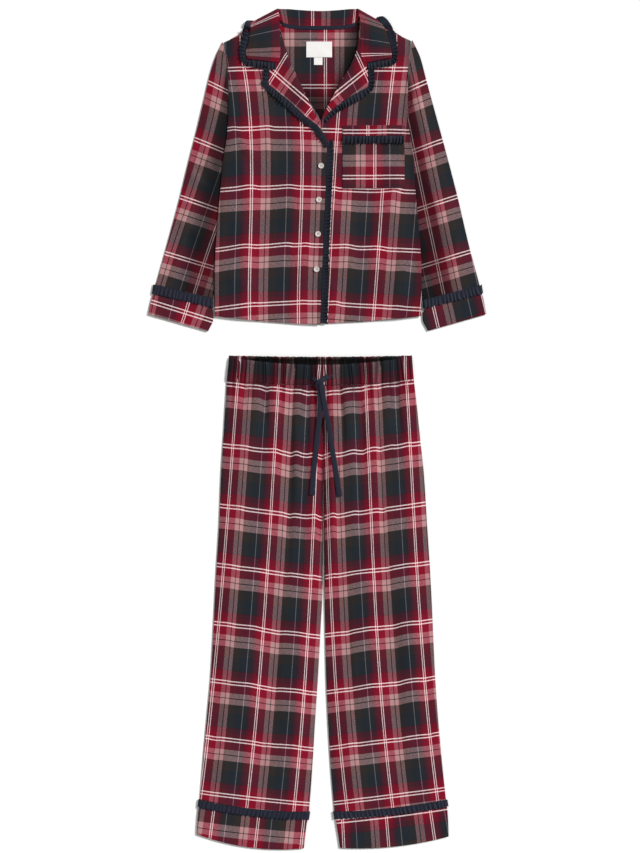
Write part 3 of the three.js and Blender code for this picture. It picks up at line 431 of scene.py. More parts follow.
def add_node(tree: bpy.types.NodeTree, kind: str, settings: dict | None = None, inputs: dict | None = None):
    """Adds a node with its settings and inputs.

    Args:
        tree: Node tree that it goes into.
        kind: Blender's name of the node.
        settings: Properties to set.
        inputs: Sockets to set, or to link where the value is a socket.

    Returns:
        The node.
    """
    node = tree.nodes.new(kind)
    for name, value in (settings or {}).items():
        setattr(node, name, value)
    for name, value in (inputs or {}).items():
        if isinstance(value, bpy.types.NodeSocket):
            tree.links.new(value, node.inputs[name])
        else:
            node.inputs[name].default_value = value
    return node


def calculate(tree: bpy.types.NodeTree, operation: str, *values, clamp: bool = False) -> bpy.types.NodeSocket:
    """Result of a node that does arithmetic with the given sockets or numbers."""
    settings = {"operation": operation, "use_clamp": clamp}
    return add_node(tree, "ShaderNodeMath", settings, dict(enumerate(values))).outputs[0]


def product(
    tree: bpy.types.NodeTree, place: bpy.types.NodeSocket, across: float, along: float
) -> bpy.types.NodeSocket:
    """Place on the cloth, each of its two numbers multiplied."""
    settings = {"operation": "MULTIPLY"}
    return add_node(tree, "ShaderNodeVectorMath", settings, {0: place, 1: (across, along, 1.0)}).outputs[0]


def noise(
    tree: bpy.types.NodeTree, place: bpy.types.NodeSocket, scale: float, detail: float, rough: float = 0.5
) -> bpy.types.NodeSocket:
    """Flat noise from 0 to 1 at a place on the cloth."""
    inputs = {"Vector": place, "Scale": scale, "Detail": detail, "Roughness": rough}
    return add_node(tree, "ShaderNodeTexNoise", {"noise_dimensions": "2D"}, inputs).outputs[0]


def carried(
    tree: bpy.types.NodeTree, value: bpy.types.NodeSocket, start: Point, end: Point
) -> bpy.types.NodeSocket:
    """Value carried from one range to another."""
    inputs = {"Value": value, "From Min": start[0], "From Max": start[1], "To Min": end[0], "To Max": end[1]}
    return add_node(tree, "ShaderNodeMapRange", None, inputs).outputs["Result"]


class Yarn(Enum):
    """Dyed yarns of the check."""

    CRIMSON = "#7d0b23"
    RUBY = "#6f0c21"
    WINE = "#561121"
    PORT = "#37161f"
    CREAM = "#f3d9d8"
    ROSE = "#a8797a"
    BLUSH = "#b58a8a"
    UMBER = "#191416"
    BARK = "#2c2625"
    NAVY = "#1e252b"
    MIST = "#968a90"


# Stripes of one repeat, each ending at so many parts of it and of this yarn
WARP_PARTS = 50.0
WARP_STRIPES = (
    (0.72, Yarn.CRIMSON), (1.55, Yarn.CREAM), (9.3, Yarn.CRIMSON), (14.0, Yarn.ROSE), (14.9, Yarn.UMBER),
    (18.8, Yarn.ROSE), (26.3, Yarn.BARK), (34.6, Yarn.NAVY), (35.5, Yarn.MIST), (39.6, Yarn.NAVY),
    (41.5, Yarn.PORT), (44.2, Yarn.WINE), (48.45, Yarn.RUBY), (49.28, Yarn.CREAM), (50.0, Yarn.CRIMSON),
)
WEFT_PARTS = 59.4
WEFT_STRIPES = (
    (0.5, Yarn.CREAM), (2.7, Yarn.CRIMSON), (3.74, Yarn.CREAM), (12.2, Yarn.CRIMSON), (17.3, Yarn.BLUSH),
    (18.3, Yarn.UMBER), (24.0, Yarn.BLUSH), (34.0, Yarn.BARK), (47.8, Yarn.NAVY), (49.0, Yarn.PORT),
    (54.0, Yarn.WINE), (58.9, Yarn.RUBY), (59.4, Yarn.CREAM),
)
EYE_GAMMA = 2.2


def new_material(name: str) -> tuple[bpy.types.Material, bpy.types.NodeTree, bpy.types.Node]:
    """Empty material with its tree and shader."""
    material = bpy.data.materials.new(name)
    material.use_nodes = True
    tree = material.node_tree
    tree.nodes.clear()
    shader = add_node(tree, "ShaderNodeBsdfPrincipled")
    add_node(tree, "ShaderNodeOutputMaterial", None, {"Surface": shader.outputs["BSDF"]})
    return material, tree, shader


def stripe_ramp(tree: bpy.types.NodeTree, stripes: Sequence, parts: float, place: bpy.types.NodeSocket):
    """Colour ramp of one repeat, coded as the eye sees it; its alpha says where a yarn floats on top."""
    node = add_node(tree, "ShaderNodeValToRGB", None, {"Fac": place})
    band = node.color_ramp
    band.interpolation = "CONSTANT"
    start = 0.0
    for index, (end, yarn) in enumerate(stripes):
        stop = band.elements[0] if index == 0 else band.elements.new(start / parts)
        if index == 1:
            band.elements.remove(band.elements[-1])
        stop.position = start / parts
        seen = [part ** (1 / EYE_GAMMA) for part in linear(yarn.value)[:3]]
        stop.color = (*seen, 1.0 if yarn is Yarn.CREAM else 0.0)
        start = end
    return node


def with_painted_shade(tree: bpy.types.NodeTree, strength: bpy.types.NodeSocket) -> bpy.types.NodeSocket:
    """Strength of a colour, lowered by the painted shade that the cloth's own attribute holds."""
    depth = add_node(tree, "ShaderNodeAttribute", {"attribute_name": "painted_shade"})
    return calculate(tree, "MULTIPLY", strength, calculate(tree, "SUBTRACT", 1.0, depth.outputs["Fac"]))


@dataclass(frozen=True)
class TartanFlannel:
    """Yarn-dyed cotton flannel, brushed: matt, softly napped, its colours mixed by a twill."""

    name: str = "tartan_flannel"
    slot: str = "tartan_flannel"
    repeat: tuple[float, float] = (WARP_REPEAT, WEFT_REPEAT)
    roughness: float = 0.88
    sheen: float = 0.05
    twill_pitch: float = 1.6  # four threads of 0.4 mm
    twill_depth: float = 0.12
    float_share: float = 0.3  # how much more of a fine line lies on the face
    nap_grain: float = 1.1
    slub_shape: Point = (0.22, 0.7)  # the uneven places are longest along the weft
    slub_range: Point = (-0.16, 0.16)
    tone_range: Point = (0.86, 1.14)
    wear_grain: float = 50.0
    wear_range: Point = (0.95, 1.05)
    twill_relief: float = 0.25

    def material(self) -> bpy.types.Material:
        """Builds the material."""
        material, tree, shader = new_material(self.name)
        uv = add_node(tree, "ShaderNodeUVMap", {"uv_map": "cloth"})
        parts = add_node(tree, "ShaderNodeSeparateXYZ", None, {0: uv.outputs["UV"]})
        ramps = []
        for axis, stripes, count in (("X", WARP_STRIPES, WARP_PARTS), ("Y", WEFT_STRIPES, WEFT_PARTS)):
            ramps.append(stripe_ramp(tree, stripes, count, calculate(tree, "FRACT", parts.outputs[axis])))
        warp, weft = ramps
        cloth = product(tree, uv.outputs["UV"], *self.repeat)
        diagonal = add_node(
            tree, "ShaderNodeVectorMath", {"operation": "DOT_PRODUCT"}, {0: cloth, 1: (1.0, 1.0, 0.0)}
        )
        turns = calculate(tree, "MULTIPLY", diagonal.outputs["Value"], 2 * math.pi / self.twill_pitch)
        twill = calculate(tree, "SINE", turns)
        slubs = noise(tree, product(tree, cloth, *self.slub_shape), 1.0, 3.0, 0.6)
        floats = calculate(tree, "SUBTRACT", weft.outputs["Alpha"], warp.outputs["Alpha"])
        share = calculate(tree, "MULTIPLY_ADD", floats, self.float_share, 0.5)
        with_twill = calculate(tree, "MULTIPLY_ADD", twill, self.twill_depth, share)
        uneven = carried(tree, slubs, (0.3, 0.7), self.slub_range)
        mixed = calculate(tree, "ADD", with_twill, uneven, clamp=True)
        colour = add_node(
            tree, "ShaderNodeMix", {"data_type": "RGBA"},
            {0: mixed, 6: warp.outputs["Color"], 7: weft.outputs["Color"]},
        )
        blended = add_node(
            tree, "ShaderNodeGamma", None, {"Color": colour.outputs[2], "Gamma": EYE_GAMMA}
        )
        nap = noise(tree, cloth, 1 / self.nap_grain, 4.0, 0.65)
        wear = noise(tree, cloth, 1 / self.wear_grain, 2.0)
        tone = carried(tree, nap, (0.25, 0.75), self.tone_range)
        worn = carried(tree, wear, (0.3, 0.7), self.wear_range)
        # Random tone of the nap and the wear, darkened by the painted shade
        tone_and_painted_shade = with_painted_shade(tree, calculate(tree, "MULTIPLY", tone, worn))
        napped = add_node(
            tree, "ShaderNodeVectorMath", {"operation": "SCALE"}, {0: blended.outputs[0], "Scale": tone_and_painted_shade}
        )
        relief = calculate(tree, "MULTIPLY_ADD", twill, self.twill_relief, nap)
        bump = add_node(
            tree, "ShaderNodeBump", None, {"Height": relief, "Strength": 0.35, "Distance": 0.00025}
        )
        tree.links.new(napped.outputs[0], shader.inputs["Base Color"])
        tree.links.new(bump.outputs[0], shader.inputs["Normal"])
        shader.inputs["Roughness"].default_value = self.roughness
        shader.inputs["Specular IOR Level"].default_value = 0.1
        shader.inputs["Sheen Weight"].default_value = self.sheen
        shader.inputs["Sheen Roughness"].default_value = 0.5
        shader.inputs["Sheen Tint"].default_value = linear("#f0d8d8")
        return material


@dataclass(frozen=True)
class PlainWeave:
    """Plain-woven cotton or polyester cloth: even threads, matt or lightly shiny."""

    name: str
    slot: str
    colour: str
    roughness: float = 0.7
    sheen: float = 0.04
    sheen_colour: str = "#8f98c0"
    thread: float = 0.5  # drawn coarser than the real 0.25 mm, so that it shows close up
    contrast: float = 0.18
    repeat: tuple[float, float] = (10.0, 10.0)

    def material(self) -> bpy.types.Material:
        """Builds the material."""
        material, tree, shader = new_material(self.name)
        uv = add_node(tree, "ShaderNodeUVMap", {"uv_map": "cloth"})
        threads = product(tree, uv.outputs["UV"], *(math.pi * size / self.thread for size in self.repeat))
        waves = add_node(tree, "ShaderNodeVectorMath", {"operation": "SINE"}, {0: threads})
        split = add_node(tree, "ShaderNodeSeparateXYZ", None, {0: waves.outputs[0]})
        weave = calculate(tree, "MULTIPLY", split.outputs["X"], split.outputs["Y"])
        grain = noise(tree, uv.outputs["UV"], 4.0, 3.0)
        shade = calculate(tree, "MULTIPLY_ADD", weave, 0.3, grain)
        tone = carried(tree, shade, (0.1, 0.9), (1 - self.contrast, 1 + self.contrast))
        # Weave tone, darkened by the painted shade
        coloured = add_node(
            tree, "ShaderNodeVectorMath", {"operation": "SCALE"},
            {0: linear(self.colour)[:3], "Scale": with_painted_shade(tree, tone)},
        )
        bump = add_node(
            tree, "ShaderNodeBump", None, {"Height": weave, "Strength": 0.3, "Distance": 0.00012}
        )
        tree.links.new(coloured.outputs[0], shader.inputs["Base Color"])
        tree.links.new(bump.outputs[0], shader.inputs["Normal"])
        shader.inputs["Roughness"].default_value = self.roughness
        shader.inputs["Specular IOR Level"].default_value = 0.3
        shader.inputs["Sheen Weight"].default_value = self.sheen
        shader.inputs["Sheen Roughness"].default_value = 0.4
        shader.inputs["Sheen Tint"].default_value = linear(self.sheen_colour)
        return material


@dataclass(frozen=True)
class PearlResin:
    """Cast polyester resin with a pearl pigment: glossy, with soft cloudy bands."""

    name: str = "pearl_resin"
    slot: str = "pearl_resin"
    dark: str = "#a79d98"
    light: str = "#efe8e2"
    cloud: float = 0.35  # clouds of about 3 mm

    def material(self) -> bpy.types.Material:
        """Builds the material."""
        material, tree, shader = new_material(self.name)
        place = add_node(tree, "ShaderNodeTexCoord")
        clouds = add_node(
            tree, "ShaderNodeTexNoise", None,
            {"Vector": place.outputs["Object"], "Scale": self.cloud / MM, "Detail": 2.0, "Distortion": 1.5},
        )
        colour = add_node(
            tree, "ShaderNodeMix", {"data_type": "RGBA"},
            {0: clouds.outputs[0], 6: linear(self.dark), 7: linear(self.light)},
        )
        tree.links.new(colour.outputs[2], shader.inputs["Base Color"])
        shader.inputs["Roughness"].default_value = 0.28
        shader.inputs["IOR"].default_value = 1.55
        shader.inputs["Coat Weight"].default_value = 0.4
        shader.inputs["Coat Roughness"].default_value = 0.1
        return material


FLANNEL = TartanFlannel()
NAVY_COTTON = PlainWeave("navy_cotton_poplin", "navy_cotton", "#0e1325")
NAVY_TIE = PlainWeave("navy_cotton_tape", "navy_cotton", "#121628", thread=0.7, contrast=0.24)
LABEL_SATIN = PlainWeave(
    "label_satin", "label_satin", "#ece9e6", roughness=0.5, sheen=0.05, sheen_colour="#ffffff", contrast=0.03
)
THREAD = PlainWeave("sewing_thread", "tartan_flannel", "#5d1626", thread=0.3, repeat=(1.0, 1.0))
NAVY_THREAD = PlainWeave("navy_thread", "navy_cotton", "#151a2a", thread=0.3, repeat=(1.0, 1.0))
PEARL = PearlResin()
Finish = TartanFlannel | PlainWeave | PearlResin
MADE: dict[str, bpy.types.Material] = {}


def material_of(finish: Finish) -> bpy.types.Material:
    """The finish's material, built once."""
    if finish.name not in MADE:
        MADE[finish.name] = finish.material()
    return MADE[finish.name]


class Held(Enum):
    """How a piece of cloth lies."""

    LAID = "laid"
    FOLDED = "folded"
    GATHERED = "gathered"


def make_object(name: str, shape: Shape, finish: Finish) -> bpy.types.Object:
    """Object with the shape's mesh, its cloth coordinates and its material."""
    mesh = bpy.data.meshes.new(name)
    mesh.from_pydata((shape.points * MM).tolist(), [], shape.quads.tolist())
    layer = mesh.uv_layers.new(name="cloth")
    layer.data.foreach_set("uv", shape.chart[shape.chart_quads.ravel()].astype(np.float32).ravel())
    mesh.polygons.foreach_set("use_smooth", np.ones(len(mesh.polygons), bool))
    # Painted shade of each point, which the materials read to darken the colour
    mesh.attributes.new("painted_shade", "FLOAT", "POINT").data.foreach_set("value", shape.painted_shade.astype(np.float32))
    mesh.materials.append(material_of(finish))
    mesh.update()
    piece = bpy.data.objects.new(name, mesh)
    bpy.context.scene.collection.objects.link(piece)
    return piece


def place_piece(piece: bpy.types.Object, nodes: Sequence[str]) -> bpy.types.Object:
    """Lets the piece ride on the set's one body in place of its solids."""
    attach(piece, ROOT)
    if nodes:
        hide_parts(*nodes)
    LOG.info("%s: %d faces", piece.name, len(piece.data.polygons))
    return piece


def strip_chart(middle: np.ndarray) -> np.ndarray:
    """Coordinates of a gathered strip, measured along its waves and across its width."""
    step = np.linalg.norm(np.diff(middle, axis=0, prepend=middle[:1]), axis=2).mean(axis=1)
    width = np.linalg.norm(np.diff(middle, axis=1, prepend=middle[:, :1]), axis=2).mean(axis=0)
    places = np.broadcast_arrays(np.cumsum(step)[:, None], np.cumsum(width)[None, :])
    return np.dstack(places) / NAVY_COTTON.repeat[0]


def cut_of(shape: Shape, repeat: tuple[float, float]) -> tuple[float, float, float]:
    """Width, length and area of the flat cut, in metres.

    The sides come from the cloth's own coordinates and the area from its upper face; cloth that is
    gathered finer than its coordinates is longer by as much.
    """
    corners = shape.points[shape.quads[: shape.face_quads]]
    normals = np.cross(corners[:, 2] - corners[:, 0], corners[:, 3] - corners[:, 1])
    area = float(np.linalg.norm(normals, axis=1).sum() / 2)
    flat = (shape.chart[shape.chart_quads[: shape.face_quads]] * np.array(repeat)).reshape(-1, 2)
    _, axes = np.linalg.eigh(np.cov((flat - flat.mean(axis=0)).T))
    width, length = sorted(np.ptp(flat @ axes, axis=0))
    length *= max(1.0, area / (width * length))
    return float(width) * MM, float(length) * MM, area * MM * MM


def sew(
    node: str, shape: Shape, finish: Finish
) -> bpy.types.Object:
    """Makes the cloth of one solid in the solid's place and works out the size of its cut.

    Args:
        node: Solid that the cloth stands for.
        shape: Its wall.
        finish: Its cloth.

    Returns:
        The piece.
    """
    piece = make_object(f"{node}_cloth", shape, finish)
    place_piece(piece, [node])
    width, length, area = cut_of(shape, finish.repeat)
    return piece


@dataclass
class StitchLine:
    """Row of stitches along points that lie on the cloth."""

    points: np.ndarray
    pitch: float = 3.4


STITCHES: dict[str, list[StitchLine]] = {"shirt": [], "trousers": [], "navy": []}
STITCH_RISE = 0.12


def stitch(group: str, plan: np.ndarray, height: Height, pitch: float = 3.4) -> None:
    """Adds a row of stitches.

    Args:
        group: Piece that the row belongs to.
        plan: Points that it follows, x and y.
        height: Top of the cloth there.
        pitch: Distance from stitch to stitch.
    """
    plan = np.asarray(plan, float)
    keys = np.concatenate([[0.0], np.cumsum(np.hypot(*np.diff(plan, axis=0).T))])
    at = np.arange(0, keys[-1], FINE / 2)
    places = np.stack([np.interp(at, keys, plan[:, axis]) for axis in (0, 1)], axis=1)
    top = height(places[:, 0], places[:, 1]) + STITCH_RISE
    STITCHES[group].append(StitchLine(np.column_stack([places, top]), pitch))


# Shirt body: side edges from hem to shoulder, and where each front ends at the centre
RIGHT_FRONT = (
    Section((-215, 237), (6, 219), -3),
    Section((-217, 300), (9, 300)),
    Section((-213, 382), (12, 382)),
    Section((-208, 450), (15, 452)),
    Section((-203, 505), (18, 520)),
    Section((-198, 560), (20, 590)),
    Section((-190, 612), (7, 646)),
    Section((-187, 655), (-20, 693)),
    Section((-186.5, 684), (-38, 731)),
    Section((-186, 704), (-52, 758)),
    Section((-188, 750), (-66, 798)),
    Section((-195, 812), (-84, 860)),
)
LEFT_FRONT = (
    Section((218, 237), (-16, 221), 3),
    Section((219, 300), (-14, 300)),
    Section((216, 384), (-12, 382)),
    Section((211, 440), (-9, 452)),
    Section((206, 498), (-6, 520)),
    Section((202, 560), (-4, 590)),
    Section((194, 620), (4, 640)),
    Section((190, 660), (36, 702)),
    Section((190, 690), (53, 735)),
    Section((190, 714), (68, 760)),
    Section((191, 756), (84, 798)),
    Section((196, 815), (90, 863)),
)
BACK_RISE = (-14, -4, 0, 0, 0, 0, 0, 2, 6, 14, 50, 52)
NECK_SHAPE = ((-194, 0), (-94, 0.92), (-72, 0.63), (-35, 0.53), (50, 0.52), (76, 0.62), (96, 0.92), (194, 0))
ARMHOLE_ROW = 7

RIGHT_FRONT_CHART = CheckChart(
    (
        (-158, 764, 0), (-141, 653, 0), (-137, 481, 0), (-141, 376, 0), (-142, 239, 0), (-181, 743, -0.3),
        (-171, 460, -0.3), (-67, 670, 0.7), (-67, 460, 0.7), (-70, 250, 0.7), (-33, 655, 1), (-33, 481, 1),
        (-40, 233, 1),
    ),
    (
        (-187, 759, 0), (-116, 759, 0), (-183, 631, 1), (-116, 634, 1), (-64, 637, 1), (-15, 631, 1),
        (-192, 506, 2), (-89, 511, 2), (10, 504, 2), (-192, 380, 3), (-116, 386, 3), (-57, 391, 3),
        (8, 389, 3), (-194, 255, 4), (-116, 267, 4), (-64, 270, 4), (6, 267, 4),
    ),
)
LEFT_FRONT_CHART = CheckChart(
    (
        (46, 664, 0), (37, 603, 0), (34, 481, 0), (161, 764, 1), (148, 645, 1), (137, 502, 1),
        (133, 407, 1), (123, 330, 1), (116, 239, 1), (121, 687, 0.7), (102, 449, 0.7), (92, 246, 0.7),
    ),
    (
        (142, 760, 0), (31, 629, 1), (184, 626, 1), (37, 507, 2), (199, 502, 2), (31, 385, 3),
        (121, 381, 3), (209, 378, 3), (25, 269, 4), (121, 258, 4), (216, 255, 4),
    ),
)
BACK_CHART = CheckChart(((17, 712, 0),), ((6, 723, 0), (6, 819, -0.705), (6, 856, -0.95)))

SHIRT_CREASES = (
    Crease((-182, 640), (-120, 560), 13, 3.6, 8),
    Crease((-186, 590), (-130, 470), 16, 3.0, -8),
    Crease((-96, 700), (-104, 560), 14, 2.2, 5),
    Crease((-60, 560), (-74, 330), 18, 2.7, -6),
    Crease((-150, 430), (-138, 250), 22, 3.2, 7),
    Crease((-20, 430), (-30, 250), 13, 2.1, 3),
    Crease((-200, 330), (-110, 290), 16, 2.1, 4),
    Crease((182, 650), (120, 600), 12, 3.3, -6),
    Crease((192, 560), (150, 440), 18, 3.3, 9),
    Crease((60, 480), (74, 300), 20, 3.0, 6),
    Crease((118, 440), (132, 250), 20, 2.7, -5),
    Crease((190, 360), (168, 250), 15, 2.7, 4),
    Crease((36, 560), (40, 420), 10, 1.8, 3),
    Crease((30, 320), (46, 236), 11, 2.2, 2),
)


@dataclass
class ShirtBody:
    """The shirt's back and fronts, and the heights of its layers."""

    tuck_column: float = 40.0
    tuck_end: float = 100.0
    tuck_top: float = 655.0
    tuck_gone: float = 745.0
    fall_start: float = 742.0
    fall_full: float = 790.0
    overlap_start: float = -80.0
    overlap_full: float = -24.0
    loft_column: float = 70.0
    hem_depth: float = 17.0
    wobble: float = 0.008
    # Painted shade along each front's side edge
    side_shade: float = 0.3
    side_shade_width: float = 9.0
    # Painted shadow inside the back, beside the left lapel's roll and towards the bottom of the neck opening
    corner_shade: float = 0.85
    corner_width: float = 22.0
    deep_shade: float = 0.88
    deep_bottom: float = 680.0
    deep_top: float = 752.0
    left_roll: tuple[Point, ...] = ((653, 9.5), (704, 36), (740, 57), (766, 71), (800, 84), (836, 88))
    right: Layout = field(default_factory=lambda: Layout(RIGHT_FRONT))
    left: Layout = field(default_factory=lambda: Layout(LEFT_FRONT))

    def edge_distance(self, x: np.ndarray, y: np.ndarray) -> np.ndarray:
        """Distance in from the nearer side edge."""
        from_right = x - smooth_read(self.right.rows[:, 1], self.right.rows[:, 0], y)
        from_left = smooth_read(self.left.rows[:, 1], self.left.rows[:, 0], y) - x
        return np.maximum(0.0, np.minimum(from_right, from_left))

    def back_top(self, x: np.ndarray, y: np.ndarray) -> np.ndarray:
        """Top of the back, which lies over the sleeves' edges and over the turned-under collar."""
        distance = self.edge_distance(x, y)
        tuck = 1 - ease(distance, self.tuck_column, self.tuck_end)
        tuck = tuck * (1 - ease(y, self.tuck_top, self.tuck_gone))
        fall = ramp(distance, 8.0, self.tuck_column) * ramp(y, self.fall_start, self.fall_full)
        return TUCK_LIFT * tuck + FALL_LIFT * fall + CLOTH

    def left_top(self, x: np.ndarray, y: np.ndarray) -> np.ndarray:
        """Top of the left front, with its creases."""
        distance = self.edge_distance(x, y)
        loft = SHIRT_LOFT * ease(distance, 0.0, self.loft_column)
        soft = ease(distance, 4.0, 40.0) * (1 - ease(y, 690.0, 760.0))
        uneven = soft * (creased(SHIRT_CREASES, x, y) + 0.45 * (1 + rumple(x, y, 90.0, 4)))
        return self.back_top(x, y) + LAYER + loft + uneven

    def right_top(self, x: np.ndarray, y: np.ndarray) -> np.ndarray:
        """Top of the right front, which laps over the left one at the centre."""
        return self.left_top(x, y) + LAYER * ease(x, self.overlap_start, self.overlap_full)

    def front(self, layout: Layout, chart: CheckChart, top: Height) -> Shape:
        """Wall of a front, whose side and shoulder edges bend down to the back."""
        along = spread(layout.length, FINE + 0.5)
        across = spread(layout.width, FINE + 0.5) / layout.width
        plan = layout.plan(along, across)
        x, y = plan[..., 0], plan[..., 1]
        from_side = across[None, :] * layout.width + 0 * x
        from_shoulder = layout.length - along[:, None] + 0 * x
        near = np.minimum(ramp(from_side, 0, 5.0), ramp(from_shoulder, 0, 5.0))
        rounded = np.sqrt(1 - (1 - near) ** 2)
        seam = self.back_top(x, y) + SEAM + CLOTH / 2 - 0.25
        middle = seam + (top(x, y) - CLOTH / 2 - seam) * rounded
        numbers = chart.read(x, y)
        numbers[..., 1] += self.wobble * creased(SHIRT_CREASES, x, y)
        # Painted shade along the side edge
        shade = self.side_shade * np.exp(-((from_side / self.side_shade_width) ** 2))
        return wall(np.dstack([x, y, middle]), numbers, CLOTH, shade)

    def neck_painted_shadow(self, x: np.ndarray, y: np.ndarray) -> np.ndarray:
        """Painted shadow on the inside of the back under the collar and lapels: beside the left lapel's roll
        and towards the bottom of the neck opening.
        """
        roll_y, roll_x = zip(*self.left_roll)
        beside = np.maximum(0.0, np.interp(y, roll_y, roll_x) - x)
        corner = self.corner_shade * np.exp(-((beside / self.corner_width) ** 2))
        deep = self.deep_shade * (1 - ease(y, self.deep_bottom, self.deep_top))
        return np.maximum(corner, deep)

    def back(self) -> Shape:
        """Wall of the back, up to the neck seam under the collar."""
        along = spread(self.right.length, MEDIUM)
        width = 2 * self.right.width
        across = spread(width, MEDIUM) / width
        start = self.right.read(along)[:, None, 0:2]
        row = along / self.right.length * self.right.keys[-1]
        left_at = smooth_read(self.right.keys, self.left.rows[:, 0:2], row)[:, None, :]
        rise = smooth_read(self.right.keys, np.array(BACK_RISE, float), row)[:, None]
        share = across[None, :]
        x = start[..., 0] + (left_at[..., 0] - start[..., 0]) * share
        level = start[..., 1] + (left_at[..., 1] - start[..., 1]) * share
        keys, values = zip(*NECK_SHAPE)
        neck = ease(row, self.right.keys[ARMHOLE_ROW - 1], self.right.keys[ARMHOLE_ROW])[:, None]
        shape = (1 - neck) * 4 * share * (1 - share) + neck * smooth_read(keys, np.array(values), x)
        y = level + rise * shape
        middle = self.back_top(x, y) - CLOTH / 2
        return wall(np.dstack([x, y, middle]), BACK_CHART.read(x, y), CLOTH, self.neck_painted_shadow(x, y))

    def build(self) -> None:
        """Makes the back and both fronts with their topstitching."""
        sew("shirt_back", self.back(), FLANNEL)
        left = self.front(self.left, LEFT_FRONT_CHART, self.left_top)
        sew("shirt_front_left", left, FLANNEL)
        right = self.front(self.right, RIGHT_FRONT_CHART, self.right_top)
        sew("shirt_front_right", right, FLANNEL)
        hem = np.array([self.hem_depth])
        across = np.linspace(0.01, 0.995, 80)
        stitch("shirt", self.right.plan(hem, across)[0], self.right_top)
        stitch("shirt", self.left.plan(hem, np.linspace(0.01, 0.88, 70))[0], self.left_top)
        edge = self.right.plan(np.linspace(4, 375, 60), np.array([1 - 5.0 / self.right.width]))[:, 0]
        stitch("shirt", edge, self.right_top)


BODY = ShirtBody()


@dataclass
class FlatTube:
    """Flattened tube of cloth: a sleeve, a cuff, or a ruffle ring."""

    node: str
    sections: Sequence[Section]
    chart: CheckChart
    wall: float
    pitch: float = MEDIUM
    creases: Sequence[Crease] = ()
    seed: int = 1
    rumpled: float = 0.35

    def top(self, row: np.ndarray, share: np.ndarray, x: np.ndarray, y: np.ndarray) -> np.ndarray:
        """Height of the upper side at shares across each ring."""
        return row[:, None, 6] + 0 * share

    def slide(self, row_share: np.ndarray, part: np.ndarray) -> np.ndarray:
        """Distance that each point is moved along the tube."""
        return 0 * part

    def shade(self, part: np.ndarray) -> np.ndarray:
        """Painted shade of each point: none on a plain tube."""
        return 0 * part

    def side_arc(self, height: np.ndarray, count: int) -> tuple[np.ndarray, np.ndarray]:
        """Distance in from the fold and height above the floor round a folded edge."""
        angles = np.linspace(-math.pi / 2, math.pi / 2, count)
        radius = height[:, None] / 2
        return radius * (1 - np.cos(angles)), radius * (1 + np.sin(angles))

    def shape(self) -> Shape:
        """Rings of the tube: the outer fold, the upper side, the inner fold and the underside."""
        layout = Layout(self.sections)
        along = spread(layout.length, self.pitch)
        row = layout.read(along)
        length = np.hypot(row[:, 2] - row[:, 0], row[:, 3] - row[:, 1])
        count = max(8, round(layout.width / self.pitch))
        share = np.linspace(0, 1, count + 1)[None, :] + 0 * row[:, :1]
        floor = row[:, 5:6]
        flat = layout.plan(along, share[0])
        top = self.top(row, share, flat[..., 0], flat[..., 1])
        inset, rise = self.side_arc(top[:, 0] - floor[:, 0], FOLD_POINTS)
        far_inset, far_rise = self.side_arc(top[:, -1] - floor[:, 0], FOLD_POINTS)
        radius = (top[:, 0] - floor[:, 0])[:, None] / 2
        far_radius = (top[:, -1] - floor[:, 0])[:, None] / 2
        span = length[:, None]
        upper = radius + (span - radius - far_radius) * share
        distance = np.concatenate(
            [inset[:, :-1], upper, span - far_inset[:, -2:0:-1], upper[:, ::-1]], axis=1
        )
        height = np.concatenate(
            [rise[:, :-1] + floor, top, far_rise[:, -2:0:-1] + floor, floor + 0 * upper], axis=1
        )[:, :-1]
        distance = distance[:, :-1]
        part = distance / span
        outer, inner = row[:, None, 0:2], row[:, None, 2:4]
        run = inner - outer
        sideways = np.stack([-run[..., 1], run[..., 0]], axis=2) / span[..., None]
        bow = (row[:, 4:5] * 4 * part * (1 - part))[..., None]
        lengthwise = unit(np.gradient(row[:, 0:2] + row[:, 2:4], axis=0))[:, None, :]
        moved = self.slide((along / layout.length)[:, None], part)[..., None]
        plan = outer + run * part[..., None] + sideways * bow + lengthwise * moved
        points = np.dstack([plan, height])
        numbers = self.chart.read(plan[..., 0], plan[..., 1])
        fold = self.chart.read(row[:, None, 0], row[:, None, 1])
        far = self.chart.read(row[:, None, 2], row[:, None, 3])
        below = np.arange(points.shape[1]) >= FOLD_POINTS - 1 + upper.shape[1] + FOLD_POINTS // 2
        numbers[:, below] = 2 * far - numbers[:, below]
        closing = 2 * far - fold
        return tube(points, np.concatenate([numbers, closing], axis=1), self.wall, self.shade(part))


SLEEVE_EASE = (0.25, 0.45, 0.7)
SLEEVE_CREASED = (0.12, 0.45, 0.66)
SLEEVE_RUMPLE = 60.0
# Painted shade on each sleeve, darkest on its side beside the body
SLEEVE_SHADE = 0.66
SLEEVE_SHADE_REACH = (0.26, 0.6)


@dataclass
class Sleeve(FlatTube):
    """Sleeve: full at its free part and flat beneath the body's side."""

    def top(self, row: np.ndarray, share: np.ndarray, x: np.ndarray, y: np.ndarray) -> np.ndarray:
        """Height with the puff and the creases, which fade out under the body."""
        risen, end, gone = SLEEVE_EASE
        puff = ease(share, 0, risen) * (1 - ease(share, end, gone))
        risen, end, gone = SLEEVE_CREASED
        free = ease(share, 0, risen) * (1 - ease(share, end, gone))
        rumpled = self.rumpled * (1 + rumple(x, y, SLEEVE_RUMPLE, self.seed))
        uneven = free * (creased(self.creases, x, y) + rumpled)
        return SLEEVE_EDGE + SLEEVE_PUFF * puff + uneven

    def shade(self, part: np.ndarray) -> np.ndarray:
        """Painted shade on the side beside the body."""
        return SLEEVE_SHADE * ease(part, *SLEEVE_SHADE_REACH)


